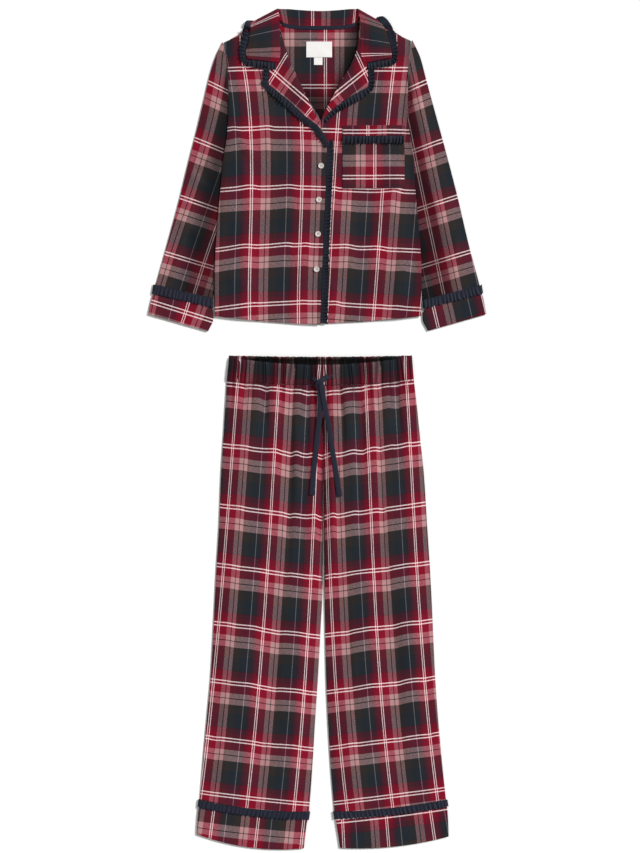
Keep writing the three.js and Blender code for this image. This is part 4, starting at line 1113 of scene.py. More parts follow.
@dataclass
class RuffleRing(FlatTube):
    """Gathered ring in a cuff's seam, wavy on its upper side."""

    waves: int = 8
    height: float = 5.3
    depth: float = 1.5
    scallop: float = 1.4
    teeth: float = 2.4

    lean: float = 1.9

    def phase(self, part: np.ndarray) -> tuple[np.ndarray, np.ndarray, float]:
        """Even turns across the ring, the uneven phase of its waves, and a chance shift."""
        shift = np.random.default_rng(self.seed).uniform(0, 6.28, 3)
        turns = 2 * math.pi * self.waves * part
        phase = turns * 1.9 + 0.8 * np.sin(turns / 2.6 + shift[0]) + 0.5 * np.sin(turns / 1.3 + shift[1])
        return turns, phase, shift[2]

    def top(self, row: np.ndarray, share: np.ndarray, x: np.ndarray, y: np.ndarray) -> np.ndarray:
        """Height of the uneven waves, which are deeper towards the free edge."""
        turns, phase, shift = self.phase(share)
        lean = np.linspace(0, self.lean, len(row))[:, None]
        depth = self.depth * row[:, None, 6]
        swell = 0.75 + 0.25 * np.sin(turns / 3.7 + shift)
        crest = np.tanh(1.5 * np.sin(phase + lean))
        return self.height + depth * swell * (1 + crest) * ease(share, 0, 0.02)

    def slide(self, row_share: np.ndarray, part: np.ndarray) -> np.ndarray:
        """Scallops of the free edge and small teeth above the seam."""
        phase, shift = self.phase(part)[1:]
        lower = self.scallop * np.cos(phase + self.lean) * row_share**2
        upper = self.teeth * (0.5 + 0.5 * np.sin(phase * 1.4 + shift)) * (1 - row_share) ** 2
        return lower - upper


CUFF_FLOOR = TRIM + SEAM
CUFF_START = 4.0
CUFF_TOP = 4.8
RIGHT_SLEEVE = (
    Section((-198.5, 813), (-188.5, 660), 5.2),
    Section((-213, 783), (-180, 634)),
    Section((-225, 746), (-168, 604)),
    Section((-238, 691), (-174, 560)),
    Section((-252, 632), (-182, 510)),
    Section((-270, 562), (-190, 455)),
    Section((-290, 480), (-199, 398)),
    Section((-313, 395), (-209, 340)),
    Section((-339, 302), (-219, 274)),
)
LEFT_SLEEVE = (
    Section((200, 816), (192, 664), -3.8),
    Section((216, 781), (184, 634)),
    Section((228, 737), (172, 602)),
    Section((241, 689), (177, 558)),
    Section((256, 634), (185, 508)),
    Section((275, 564), (193, 453)),
    Section((294.5, 488), (202, 396)),
    Section((316, 396), (211, 337)),
    Section((341, 301), (221, 270)),
)
RIGHT_CUFF = (
    Section((-340.5, 301.9), (-222.5, 274.3), 0, CUFF_FLOOR, CUFF_START),
    Section((-344, 284), (-222, 256), 0, CUFF_FLOOR, CUFF_START),
    Section((-347, 276), (-219, 247), 0, 0, CUFF_TOP),
    Section((-351, 260), (-218, 232), 0, 0, CUFF_TOP),
    Section((-355, 241), (-229, 205), 0, 0, CUFF_TOP),
)
LEFT_CUFF = (
    Section((342, 300.8), (225, 270.5), 0, CUFF_FLOOR, CUFF_START),
    Section((345, 284), (225, 253), 0, CUFF_FLOOR, CUFF_START),
    Section((348, 276), (222, 243), 0, 0, CUFF_TOP),
    Section((351, 261), (221, 231), 0, 0, CUFF_TOP),
    Section((355, 241), (232, 206), 0, 0, CUFF_TOP),
)
RIGHT_SLEEVE_RING = (
    Section((-344, 302.7), (-219, 273.5), 0, 0, 0.25),
    Section((-347.5, 284), (-218.5, 254.5), 0, 0, 1.0),
)
LEFT_SLEEVE_RING = (
    Section((345.5, 301.7), (221.5, 269.6), 0, 0, 0.25),
    Section((348.5, 284), (221.5, 252), 0, 0, 1.0),
)
RIGHT_SLEEVE_CHART = CheckChart(
    (
        (-204, 758, 0.29), (-211, 672, 0.29), (-225, 622, 0.29), (-241, 570, 0.29), (-274, 484, 0.29),
        (-302, 382, 0.29), (-325, 307, 0.29), (-202, 546, 0.7), (-289, 288, 0.7), (-211, 428, 1),
        (-260, 280, 1),
    ),
    (
        (-228, 733, 0), (-188, 708, 0), (-256, 612, 1), (-193, 588, 1), (-285, 488, 2), (-209, 464, 2),
        (-318, 373, 3), (-215, 341, 3),
    ),
    -18,
)
LEFT_SLEEVE_CHART = CheckChart(
    ((202, 586, 0), (230, 449, 0), (265, 284, 0)),
    (
        (194, 716, 0), (230, 735, 0), (204, 588, 1), (264, 609, 1), (210, 464, 2), (292, 491, 2),
        (217, 344, 3), (321, 376, 3),
    ),
    12,
)
RIGHT_CUFF_CHART = CheckChart(
    ((-271, 262, 1), (-285, 220, 1), (-301, 273, 0.7), (-311, 233, 0.7)),
    ((-348, 271, 0), (-220, 231, 0)),
    -17,
)
LEFT_CUFF_CHART = CheckChart(((244, 254, 0), (254, 211, 0)), ((230, 214, -0.25), (342, 252, -0.25)), 17)
TRIM_CHART = CheckChart(((0, 0, 0),), ((0, 0, 0),))
RIGHT_SLEEVE_CREASES = (
    Crease((-212, 700), (-236, 600), 9, 3.1, -5),
    Crease((-240, 600), (-214, 520), 9, 2.7, 4),
    Crease((-272, 545), (-222, 500), 10, 2.9, 3),
    Crease((-262, 470), (-292, 360), 10, 2.6, 5),
    Crease((-300, 440), (-240, 400), 9, 2.3, -4),
    Crease((-250, 380), (-268, 300), 9, 2.2, -3),
)
LEFT_SLEEVE_CREASES = (
    Crease((214, 705), (238, 600), 9, 3.1, 5),
    Crease((262, 610), (215, 560), 9, 2.9, -4),
    Crease((226, 520), (262, 420), 10, 2.6, -5),
    Crease((296, 470), (240, 430), 9, 2.6, 3),
    Crease((300, 420), (286, 320), 10, 2.3, 4),
    Crease((246, 370), (262, 296), 9, 2.0, 3),
)
SLEEVE_RING_HEIGHT = CUFF_START + SEAM + TRIM


@dataclass
class Sleeves:
    """Both sleeves with their cuffs and ruffle rings."""

    cuff_stitch: float = 5.0

    def build(self) -> None:
        """Makes the sleeves from the armholes down."""
        for side, sections, chart, creases, seed in (
            ("right", RIGHT_SLEEVE, RIGHT_SLEEVE_CHART, RIGHT_SLEEVE_CREASES, 11),
            ("left", LEFT_SLEEVE, LEFT_SLEEVE_CHART, LEFT_SLEEVE_CREASES, 12),
        ):
            sleeve = Sleeve(f"sleeve_{side}", sections, chart, CLOTH, 3.6, creases, seed, 0.5)
            sew(sleeve.node, sleeve.shape(), FLANNEL)
        for side, cuff, ring, chart, seed in (
            ("right", RIGHT_CUFF, RIGHT_SLEEVE_RING, RIGHT_CUFF_CHART, 21),
            ("left", LEFT_CUFF, LEFT_SLEEVE_RING, LEFT_CUFF_CHART, 22),
        ):
            band = FlatTube(f"sleeve_cuff_{side}", cuff, chart, TRIM, 3.5)
            sew(band.node, band.shape(), FLANNEL)
            ruffle = RuffleRing(f"sleeve_ruffle_{side}", ring, TRIM_CHART, TRIM, 1.4, (), seed,
                                height=SLEEVE_RING_HEIGHT)
            sew(ruffle.node, trim_scaled(ruffle.shape()), NAVY_COTTON)
            layout = Layout(cuff)
            plan = layout.plan(np.array([layout.length - self.cuff_stitch]), np.linspace(0.02, 0.98, 40))
            stitch("shirt", plan[0], lambda x, y: 0 * x + CUFF_TOP)


def trim_scaled(shape: Shape) -> Shape:
    """Shape whose check numbers become the plain trims' coordinates."""
    shape.chart = shape.chart * np.array([WARP_REPEAT, WEFT_REPEAT]) / np.array(NAVY_COTTON.repeat)
    return shape


# Collar from the wearer's right front, round the back neck, to the left front
UNDER = CLOTH / 2
STAND = UNDER + LAYER
WRAP = 3.85
OVER = 7.3
ON_FRONT = -1.0
FOLD_REACH = 2.0
FOLD_SHARE = 0.45
FRONT_FOLD_SHARE = 0.12


@dataclass(frozen=True)
class CollarStation:
    """Line across the collar: its neck seam, roll and outer edge, and the heights of fall and stand."""

    seam: Point
    fold: Point
    edge: Point
    fall: float = ON_FRONT
    stand: float = ON_FRONT


COLLAR_STATIONS = (
    CollarStation((-80, 768), (-82.5, 768), (-148, 777)),
    CollarStation((-77, 792), (-79.5, 792), (-149, 790)),
    CollarStation((-78, 820), (-80.5, 820), (-145, 812)),
    CollarStation((-79, 848), (-81.5, 848), (-142, 830)),
    CollarStation((-80, 866), (-82.5, 867), (-140, 843), OVER, OVER),
    CollarStation((-79, 862), (-82, 879), (-140.4, 848.4), OVER - 0.9, 5.2),
    CollarStation((-78.5, 858), (-83.5, 882), (-142, 851.5), WRAP, WRAP - 0.4),
    CollarStation((-76, 856), (-81.5, 881.5), (-140.4, 848.4), UNDER + 0.9, 2.7),
    CollarStation((-71, 852), (-78, 881.3), (-138, 845), UNDER, STAND),
    CollarStation((-58, 846), (-62, 881), (-92, 818), UNDER, STAND),
    CollarStation((-35, 843), (-36, 879), (-46, 812), UNDER, STAND),
    CollarStation((6, 842), (6, 877), (6, 811), UNDER, STAND),
    CollarStation((45, 842), (46, 879), (56, 812), UNDER, STAND),
    CollarStation((66, 846), (68, 881), (96, 819), UNDER, STAND),
    CollarStation((78, 852), (81, 881.4), (124.5, 852.5), UNDER, STAND),
    CollarStation((82, 856), (83.5, 881.6), (126.2, 855.5), UNDER + 0.9, 2.7),
    CollarStation((84.5, 858), (85.5, 881.9), (128, 858.5), WRAP, WRAP - 0.4),
    CollarStation((85.5, 862), (86, 879), (129, 853.5), OVER - 0.9, 5.2),
    CollarStation((88, 866), (90.5, 867), (136, 849), OVER, OVER),
    CollarStation((91, 848), (93.5, 848), (145, 833)),
    CollarStation((91, 820), (93.5, 820), (152, 810)),
    CollarStation((90, 796), (92.5, 796), (156, 792)),
    CollarStation((97, 767), (99.5, 767), (157, 779)),
)
NECK_TAPE = (
    Section((-73, 853), (-72, 845)),
    Section((-57, 849), (-57, 841)),
    Section((-35, 846.5), (-35, 838.5)),
    Section((6, 846), (6, 838)),
    Section((48, 846.5), (48, 838.5)),
    Section((66, 849), (66, 841)),
    Section((80, 853), (79, 845)),
)
TAPE_MIDDLE = STAND + UNDER + SEAM + TRIM / 2


def front_top(x: np.ndarray, y: np.ndarray) -> np.ndarray:
    """Top of whichever front is under a point."""
    return np.where(np.asarray(x) < 0, BODY.right_top(x, y), BODY.left_top(x, y))


def fall_middle(x: np.ndarray, y: np.ndarray) -> np.ndarray:
    """Middle of the collar's fall, which lies over the lapels."""
    return front_top(x, y) + 2 * LAID_GAP + CLOTH + UNDER


@dataclass
class Collar:
    """Collar with its stand, roll and fall, and the tape that covers its seam."""

    puff: float = 1.4
    edge_stitch: float = 0.93
    warp_start: float = 0.16
    weft_start: float = 0.97

    def station_row(self, station: CollarStation) -> np.ndarray:
        """Nine middle points from the neck seam over the roll to the outer edge."""
        seam, fold, edge = (np.array(p, float) for p in (station.seam, station.fold, station.edge))
        if station.fall == ON_FRONT:
            standing, falling = np.linspace(0, FRONT_FOLD_SHARE, 5), np.linspace(FRONT_FOLD_SHARE, 1, 5)
            shares = np.concatenate([standing, falling[1:]])
            plan = seam + (edge - seam) * shares[:, None]
            return np.column_stack([plan, fall_middle(plan[:, 0], plan[:, 1])])
        near = []
        for target in (seam, edge):
            share = min(FOLD_SHARE, FOLD_REACH / float(np.hypot(*(target - fold))))
            near.append(fold + (target - fold) * share)
        stand_start, fall_start = near
        falling = [fall_start + (edge - fall_start) * share for share in np.linspace(0, 1, 5)]
        plan = [seam, (seam + stand_start) / 2, stand_start, fold, *falling]
        heights = [station.stand] * 3 + [(station.stand + station.fall) / 2] + [station.fall] * 5
        return np.column_stack([plan, heights])

    def shape(self) -> Shape:
        """Wall of the collar."""
        rows = np.array([self.station_row(station) for station in COLLAR_STATIONS])
        folds = rows[:, 3, :2]
        keys = np.concatenate([[0.0], np.cumsum(np.maximum(1.0, np.hypot(*np.diff(folds, axis=0).T)))])
        edge_keys = np.concatenate([[0.0], np.cumsum(np.hypot(*np.diff(rows[:, 6, :2], axis=0).T))])
        keys = (keys + edge_keys) / 2 + np.arange(len(keys)) * 0.5
        along = spread(keys[-1], FINE)
        rows = smooth_read(keys, rows, along)
        columns = spread(8.0, 0.22)
        grid = smooth_read(np.arange(9.0), rows.transpose(1, 0, 2), columns).transpose(1, 0, 2)
        on_front = ease(np.abs(along - keys[-1] / 2), keys[11] - keys[4] - 4, keys[11] - keys[4] + 22)
        fall_share = ramp(columns, 4.0, 8.0)
        rumpled = 1 + 0.5 * rumple(grid[..., 0], grid[..., 1], 45, 8)
        puffed = self.puff * np.sin(math.pi * fall_share**0.7) * rumpled
        grid[..., 2] += np.maximum(0, puffed) * on_front[:, None]
        centre = keys[11]
        around = (along - centre)[:, None] / WARP_REPEAT + self.warp_start + 0 * columns
        widths = np.cumsum(np.linalg.norm(np.diff(grid, axis=1, prepend=grid[:, :1]), axis=2), axis=1)
        return wall(grid, np.dstack([around, self.weft_start - widths / WEFT_REPEAT]), CLOTH)

    def tape(self) -> Shape:
        """Wall of the neck tape."""
        layout = Layout(NECK_TAPE)
        along, across = spread(layout.length, FINE), spread(layout.width, 1.4) / layout.width
        plan = layout.plan(along, across)
        middle = np.dstack([plan, TAPE_MIDDLE + 0 * plan[..., 0]])
        chart = np.dstack(np.broadcast_arrays(along[:, None] / 10, across[None, :] * layout.width / 10))
        return wall(middle, chart, TRIM)

    def build(self) -> None:
        """Makes the collar and the tape with their stitching."""
        sew("collar", self.shape(), FLANNEL)
        place_piece(make_object("neck_tape_cloth", self.tape(), NAVY_COTTON), ["neck_tape"])
        layout = Layout(NECK_TAPE)
        for share in (0.18, 0.82):
            line = layout.plan(np.linspace(1, layout.length - 1, 60), np.array([share]))[:, 0]
            stitch("navy", line, lambda x, y: 0 * x + TAPE_MIDDLE + TRIM / 2, 3.0)
        for stations in (COLLAR_STATIONS[:4], COLLAR_STATIONS[-4:]):
            ends = [(np.array(s.seam), np.array(s.edge)) for s in stations]
            rim = [seam + (edge - seam) * self.edge_stitch for seam, edge in ends]
            in_from_edge = np.array([0, 4.0])
            first = stations[0] is COLLAR_STATIONS[0]
            seam, edge = ends[0] if first else ends[-1]
            start = seam + (edge - seam) * 0.15 + in_from_edge
            if first:
                rim = [start, rim[0] + in_from_edge, *rim[1:]]
            else:
                rim = [*rim[:-1], rim[-1] + in_from_edge, start]
            stitch("shirt", np.array(rim), lambda x, y: fall_middle(x, y) + UNDER + 0.4)


# Lapels: the fronts' facings turned out; outer is the roll and inner the lapel's outer edge
RIGHT_LAPEL = (
    Section((-80, 836), (-96, 832)),
    Section((-72, 813), (-96, 800)),
    Section((-58, 772), (-100, 752)),
    Section((-48, 752), (-102, 726)),
    Section((-38, 731), (-84, 709)),
    Section((-20, 693), (-56, 685)),
    Section((-6, 662), (-24, 655)),
    Section((6, 640), (-2, 638)),
    Section((12.5, 618), (8, 617)),
    Section((16, 604), (13.4, 603.5)),
)
LEFT_LAPEL = (
    Section((88, 836), (104, 832)),
    Section((84, 800), (106, 790)),
    Section((71, 766), (106, 748)),
    Section((57, 740), (107, 722)),
    Section((46, 722), (80, 704)),
    Section((36, 704), (58, 691)),
    Section((18, 670), (27, 666)),
    Section((9.5, 653), (13, 651)),
)
RIGHT_LAPEL_CHART = CheckChart(((-62, 789, 0), (-101, 726, 0)), ((-87, 750, 0), (-15, 687, 0)), -41)
LEFT_LAPEL_CHART = CheckChart(((81, 789, 0), (99, 750, 0)), ((97, 754, 0), (39, 707, 0)), 39)


@dataclass
class Lapels:
    """Both lapels, softly rolled at their inner edges."""

    roll: float = 1.5

    def shape(self, sections: Sequence[Section], chart: CheckChart, top: Height) -> Shape:
        """Wall of a lapel, whose roll bends down to the front's edge."""
        layout = Layout(sections)
        along = spread(layout.length, FINE)
        width = np.hypot(*(layout.read(along)[:, 2:4] - layout.read(along)[:, 0:2]).T)
        across = spread(30.0, 1.6) / 30.0
        plan = layout.plan(along, across)
        x, y = plan[..., 0], plan[..., 1]
        distance = width[:, None] * across[None, :]
        near = ramp(distance, 0, 4.0)
        bend = np.sqrt(1 - (1 - near) ** 2)
        lifted = self.roll * ease(distance, 0, 8) * (1 - ease(distance, 8, 34)) * ramp(width, 6, 24)[:, None]
        low = top(x, y) + 0.1
        middle = low + (top(x, y) + LAID_GAP + UNDER - low + lifted) * bend
        return wall(np.dstack([x, y, middle]), chart.read(x, y), CLOTH)

    def build(self) -> None:
        """Makes both lapels."""
        for side, sections, chart, top in (
            ("right", RIGHT_LAPEL, RIGHT_LAPEL_CHART, BODY.right_top),
            ("left", LEFT_LAPEL, LEFT_LAPEL_CHART, BODY.left_top),
        ):
            lapel = self.shape(sections, chart, top)
            sew(f"lapel_{side}", lapel, FLANNEL)
            inner = np.array([s.inner for s in sections[2:-1]], float)
            outer = np.array([s.outer for s in sections[2:-1]], float)
            line = inner + (outer - inner) * np.minimum(0.3, 4.0 / np.hypot(*(outer - inner).T))[:, None]
            stitch("shirt", line, lambda x, y, top=top: top(x, y) + LAID_GAP + CLOTH + 0.2)


@dataclass(frozen=True)
class Gather:
    """Station of a ruffle: its sewn and free edges, and its own height where it isn't on a front."""

    sewn: Point
    free: Point
    height: float = 0.0


COLLAR_RUFFLE = (
    Gather((-86, 767.6), (-88, 752)),
    Gather((-120, 772.2), (-122, 756)),
    Gather((-146, 774.8), (-150, 763)),
    Gather((-150, 777.5), (-163, 777)),
    Gather((-150.2, 792), (-164, 796)),
    Gather((-145.8, 812), (-160, 817)),
    Gather((-142.8, 830), (-156, 838)),
    Gather((-141.2, 843.6), (-152.5, 849), OVER),
    Gather((-141.4, 849.2), (-150.5, 854), OVER - 0.9),
    Gather((-141, 851), (-147, 857.5), WRAP),
    Gather((-139.4, 848.8), (-141, 858), UNDER + 0.9),
    Gather((-135, 845.6), (-134, 857.5), UNDER),
    Gather((-117, 831), (-124, 820), UNDER),
    Gather((-92.5, 817.2), (-97, 805), UNDER),
    Gather((-46, 811.2), (-48, 798), UNDER),
    Gather((6, 810.2), (6, 797), UNDER),
    Gather((56, 811.2), (58, 798), UNDER),
    Gather((96.5, 818.2), (101, 806), UNDER),
    Gather((121.4, 851.6), (124, 863), UNDER),
    Gather((125.4, 853.8), (130, 866), UNDER + 0.9),
    Gather((128.2, 856.4), (136, 866.5), WRAP),
    Gather((130.4, 854.4), (142.5, 863), OVER - 0.9),
    Gather((137, 849.8), (150, 855), OVER),
    Gather((146, 833.3), (160, 839)),
    Gather((152.8, 810.3), (167, 814)),
    Gather((156.8, 792.3), (169, 792)),
    Gather((158.8, 780.4), (167, 770)),
    Gather((153, 775.6), (154, 762)),
    Gather((125, 771), (127, 757)),
    Gather((103, 767), (104, 754)),
)
RIGHT_LAPEL_RUFFLE = (
    Gather((-101, 757), (-110, 762)),
    Gather((-101.8, 744), (-114, 745)),
    Gather((-103.2, 725), (-116, 722)),
    Gather((-99, 719), (-105, 708)),
    Gather((-84.5, 708.2), (-86, 692)),
    Gather((-56.5, 684.2), (-62, 671)),
    Gather((-24.5, 654.2), (-32, 643)),
    Gather((-1.5, 639), (-11, 628)),
    Gather((11, 623), (0.5, 613)),
    Gather((20, 608), (10, 600)),
    Gather((27, 597), (17, 589)),
)
LEFT_LAPEL_RUFFLE = (
    Gather((106, 757), (116, 763)),
    Gather((107.5, 744), (121, 747)),
    Gather((108, 722), (120, 718)),
    Gather((104, 717), (109, 704)),
    Gather((80.5, 703.2), (84, 686)),
    Gather((58.5, 690.2), (62, 675)),
    Gather((27.5, 665.2), (33, 657)),
    Gather((13.6, 649.8), (19, 643)),
)
FRONT_RUFFLE = (
    Gather((19.5, 600), (33, 610)),
    Gather((20.2, 588), (34, 590)),
    Gather((18.6, 520), (32, 520)),
    Gather((15.6, 452), (29, 452)),
    Gather((12.6, 382), (26, 382)),
    Gather((9.6, 300), (24, 300)),
    Gather((6.8, 222), (22, 219)),
)
POCKET_RUFFLE = (Gather((53.5, 614.5), (53.5, 598)), Gather((183, 614.5), (183, 598)))


@dataclass
class Ruffle:
    """Gathered strip of navy cotton, sewn in along one edge."""

    node: str
    table: Sequence[Gather]
    base: Height
    seed: int
    pitch: float = 7.6
    depth: float = 2.0
    sway: float = 1.9
    lift: float = LAID_GAP + TRIM / 2
    # Painted shade in the valleys of the ruffle's waves
    valley_shade: float = 0.65
    thickness: float = TRIM * 0.7
    steepness: float = 1.5
    crest_top: float = 0.905  # the hyperbolic tangent of the steepness

    def shape(self) -> Shape:
        """Wall of the ruffle, with uneven waves that deepen towards the free edge."""
        rows = np.array([[*g.sewn, *g.free, g.height] for g in self.table], float)
        middles = (rows[:, 0:2] + rows[:, 2:4]) / 2
        keys = np.concatenate([[0.0], np.cumsum(np.maximum(2.0, np.hypot(*np.diff(middles, axis=0).T)))])
        along = spread(keys[-1], 0.85)
        row = smooth_read(keys, rows, along)
        on_front = 1 - ramp(row[:, 4], 0.0, UNDER / 2)
        chance = np.random.default_rng(self.seed)
        shift = chance.uniform(0, 2 * math.pi, 4)
        phase = (
            2 * math.pi * along / self.pitch
            + 1.1 * np.sin(along / 11.0 + shift[0])
            + 0.8 * np.sin(along / 5.3 + shift[1])
        )
        swell = 0.8 + 0.3 * np.sin(along / 14.0 + shift[2])
        share = spread(15.0, 1.3) / 15.0
        rise = (0.25 + 0.75 * ease(share, 0, 0.9))[None, :]
        lean = 0.9 * share[None, :]
        sewn, free = row[:, None, 0:2], row[:, None, 2:4]
        plan = sewn + (free - sewn) * share[None, :, None]
        x, y = plan[..., 0], plan[..., 1]
        forward = unit(np.gradient(row[:, 0:2] + row[:, 2:4], axis=0))[:, None, :]
        calm = on_front[:, None]
        sway = self.sway * swell[:, None] * rise * calm * np.cos(phase[:, None] + lean)
        wavy = (0.7 * np.sin(phase / 2.1 + shift[3]) + 0.9 * np.cos(phase))[:, None] * share[None, :] ** 3
        outward = unit(free - sewn)
        plan = plan + forward * sway[..., None] + outward * (wavy * calm)[..., None]
        depth = self.depth * swell[:, None] * rise
        crest = np.tanh(self.steepness * np.sin(phase[:, None] + lean)) / self.crest_top
        waves = depth * (1.05 + crest + 0.25 * np.sin(2.3 * phase[:, None] + shift[1]))
        seam_x, seam_y = row[:, None, 0] + 0 * x, row[:, None, 1] + 0 * y
        support = np.maximum(self.base(x, y), self.base(seam_x, seam_y)) + self.lift
        blend = ease(calm, 0.0, 1.0)
        height = row[:, None, 4] * (1 - blend) + blend * (support + waves)
        middle = np.dstack([plan, height])
        # Painted shade in the wave valleys, deeper towards the free edge
        painted_valley_shade = self.valley_shade * (0.5 - crest / 2) ** 2 * rise * calm
        return wall(middle, strip_chart(middle), self.thickness, painted_valley_shade)

    def build(self, rests_on: Sequence[str]) -> None:
        """Makes the ruffle."""
        sew(self.node, self.shape(), NAVY_COTTON)


def on_left(x: np.ndarray, y: np.ndarray) -> np.ndarray:
    """Top of the cloth that lies on the left front."""
    return BODY.left_top(x, y) + LAID_GAP + CLOTH


def collar_ruffle_base(x: np.ndarray, y: np.ndarray) -> np.ndarray:
    """Top of what the collar's ruffle lies on."""
    return front_top(x, y) + LAID_GAP


def build_ruffles() -> None:
    """Makes the ruffles of the collar, lapels, front edge and pocket."""
    right, left = "shirt_front_right", "shirt_front_left"
    Ruffle("collar_ruffle", COLLAR_RUFFLE, collar_ruffle_base, 31).build([right, left])
    Ruffle("lapel_ruffle_right", RIGHT_LAPEL_RUFFLE, BODY.right_top, 32, lift=2.2).build([right])
    Ruffle("lapel_ruffle_left", LEFT_LAPEL_RUFFLE, BODY.left_top, 33).build([left])
    Ruffle("front_ruffle", FRONT_RUFFLE, BODY.left_top, 34, pitch=7.2, depth=1.5).build([left])
    Ruffle("pocket_ruffle", POCKET_RUFFLE, on_left, 35, pitch=8.0, depth=2.2).build(["pocket"])


POCKET_CHART = CheckChart(((121, 565, 0),), ((121, 524.5, 0),), 180)
BAND_CHART = CheckChart(((106, 628, 0),), ((104, 627.5, 0),))


@dataclass
class Pocket:
    """Chest pocket with its band."""

    left: float = 53.0
    right: float = 183.0
    bottom: float = 505.0
    band_bottom: float = 615.0
    band_top: float = 637.0
    inset: float = 3.0

    def rectangle(self, bottom: float, top: float, chart: CheckChart, puff: float) -> Shape:
        """Wall of a rectangle of cloth on the left front."""
        x, y = np.meshgrid(
            self.left + spread(self.right - self.left, FINE), bottom + spread(top - bottom, FINE)
        )
        inside = np.minimum(x - self.left, self.right - x)
        inside = np.minimum(inside, y - bottom)
        height = on_left(x, y) - UNDER + puff * ease(inside, 2.0, 30.0)
        return wall(np.dstack([x, y, height]), chart.read(x, y), CLOTH)

    def build(self) -> None:
        """Makes the bag and the band with their stitching."""
        bag = self.rectangle(self.bottom, self.band_bottom - SEAM, POCKET_CHART, 0.7)
        band = self.rectangle(self.band_bottom, self.band_top, BAND_CHART, 0.2)
        sew("pocket", bag, FLANNEL)
        sew("pocket_band", band, FLANNEL)
        left, right, bottom = self.left + self.inset, self.right - self.inset, self.bottom + self.inset
        top = self.band_top - self.inset
        line = [(left, top), (left, bottom), (right, bottom), (right, top), (left, top)]
        stitch("shirt", np.array(line), on_left, 3.0)
        low = self.band_bottom + self.inset
        stitch("shirt", np.array([(left, low), (right, low)]), on_left, 3.0)


@dataclass
class Labels:
    """Bare labels inside the back neck."""

    left: float = -23.0
    right: float = 31.0
    bottom: float = 780.0
    top: float = 813.0

    def flap(self, left: float, right: float, bottom: float, top: float) -> Shape:
        """Wall of a label."""
        x, y = np.meshgrid(left + spread(right - left, 2.0), bottom + spread(top - bottom, 2.0))
        curl = 0.35 * (1 + rumple(x, y, 30.0, 5)) * ease(top - y, 2.0, 20.0)
        height = BODY.back_top(x, y) + LAID_GAP + TRIM / 2 + curl
        chart = np.dstack([x / 10, y / 10])
        return wall(np.dstack([x, y, height]), chart, 0.6)

    def build(self) -> None:
        """Makes the neck label and the size tab."""
        for node, box in (
            ("neck_label", (self.left, self.right, self.bottom, self.top)),
            ("size_tab", (-7.0, 11.0, 764.0, self.bottom - SEAM)),
        ):
            sew(node, self.flap(*box), LABEL_SATIN)


@dataclass
class Buttons:
    """Four-hole buttons sewn down the right front."""

    places: tuple[Point, ...] = ((8, 552), (3.5, 481), (1.5, 409), (-1.5, 335))
    radius: float = 6.0
    height: float = 2.6
    dish: float = 1.7
    rim: float = 1.4
    hole: float = 0.75
    hole_ring: float = 1.6
    sides: int = 48

    def shape(self, x: float, y: float, floor: float) -> Shape:
        """Closed button with four holes, made as a grid round its face that the holes pass through."""
        size = 41
        line = np.linspace(-1, 1, size)
        u, v = np.meshgrid(line, line)
        disc_x = u * np.sqrt(1 - v**2 / 2)
        disc_y = v * np.sqrt(1 - u**2 / 2)
        away = np.hypot(disc_x, disc_y)
        px, py = disc_x * self.radius, disc_y * self.radius
        rim_start = 1 - self.rim / self.radius
        top = self.dish + (self.height - self.dish) * ease(away, rim_start - 0.12, rim_start + 0.02)
        top = top - 0.9 * np.maximum(0, (away - 0.9) / 0.1) ** 2
        bottom = 0.9 * np.maximum(0, (away - 0.86) / 0.14) ** 2
        for angle in (0.25, 0.75, 1.25, 1.75):
            hx, hy = (self.hole_ring * f(angle * math.pi) for f in (math.cos, math.sin))
            sink = 1 - ease(np.hypot(px - hx, py - hy), self.hole * 0.75, self.hole * 1.25)
            top = top - sink * (self.dish - 0.35)
        levels = (top, np.minimum(bottom, top))
        points = np.concatenate([np.dstack([px + x, py + y, z + floor]).reshape(-1, 3) for z in levels])
        quads, face = closed_quads(size, size)
        return shape_of(points, quads, points[:, :2] / 10, quads, face, np.zeros(len(points)))

    def build(self) -> None:
        """Makes the buttons and the thread in their holes."""
        for index, (x, y) in enumerate(self.places):
            floor = float(BODY.right_top(np.array([x]), np.array([y]))[0]) + SEAM
            button = make_object(f"button_{index + 1}_pearl", self.shape(x, y, floor), PEARL)
            place_piece(button, [f"button_{index + 1}"])
            reach = self.hole_ring * math.sqrt(0.5)
            for side in (-reach, reach):
                ends = np.array([[x + side, y - reach * 0.9, floor + self.dish + 0.05],
                                 [x + side, y + reach * 0.9, floor + self.dish + 0.05]])
                STITCHES["navy"].append(StitchLine(ends, 1.1))


# Trousers: sections of each leg from the casing seam to the cuff seam
RIGHT_LEG = (
    Section((-190, 100), (12.8, 91.8), -2.4),
    Section((-193, 50), (12.8, 37)),
    Section((-196, 0), (12.8, -18)),
    Section((-202, -97), (12.6, -122), -3),
    Section((-206, -200), (12, -225), -3),
    Section((-212, -300), (11.5, -322), -3),
    Section((-217, -400), (7, -420), -2),
    Section((-223, -510), (1, -528), -2),
    Section((-231, -600), (-5, -620), -3),
    Section((-240, -700), (-11, -720), -5),
    Section((-246, -777), (-17, -803), -7),
)
LEFT_LEG = (
    Section((203, 101), (13.2, 91.8), 2.4),
    Section((209, 50), (13.2, 37)),
    Section((214, 0), (13.2, -18)),
    Section((224, -97), (13.6, -122), 3),
    Section((230.5, -200), (14, -225), 3),
    Section((237, -300), (15, -322), 3),
    Section((242, -400), (16.5, -420), 2),
    Section((247, -510), (19, -528), 2),
    Section((253, -600), (23, -620), 3),
    Section((262, -700), (29, -720), 4),
    Section((270, -777), (36, -803), 5),
)
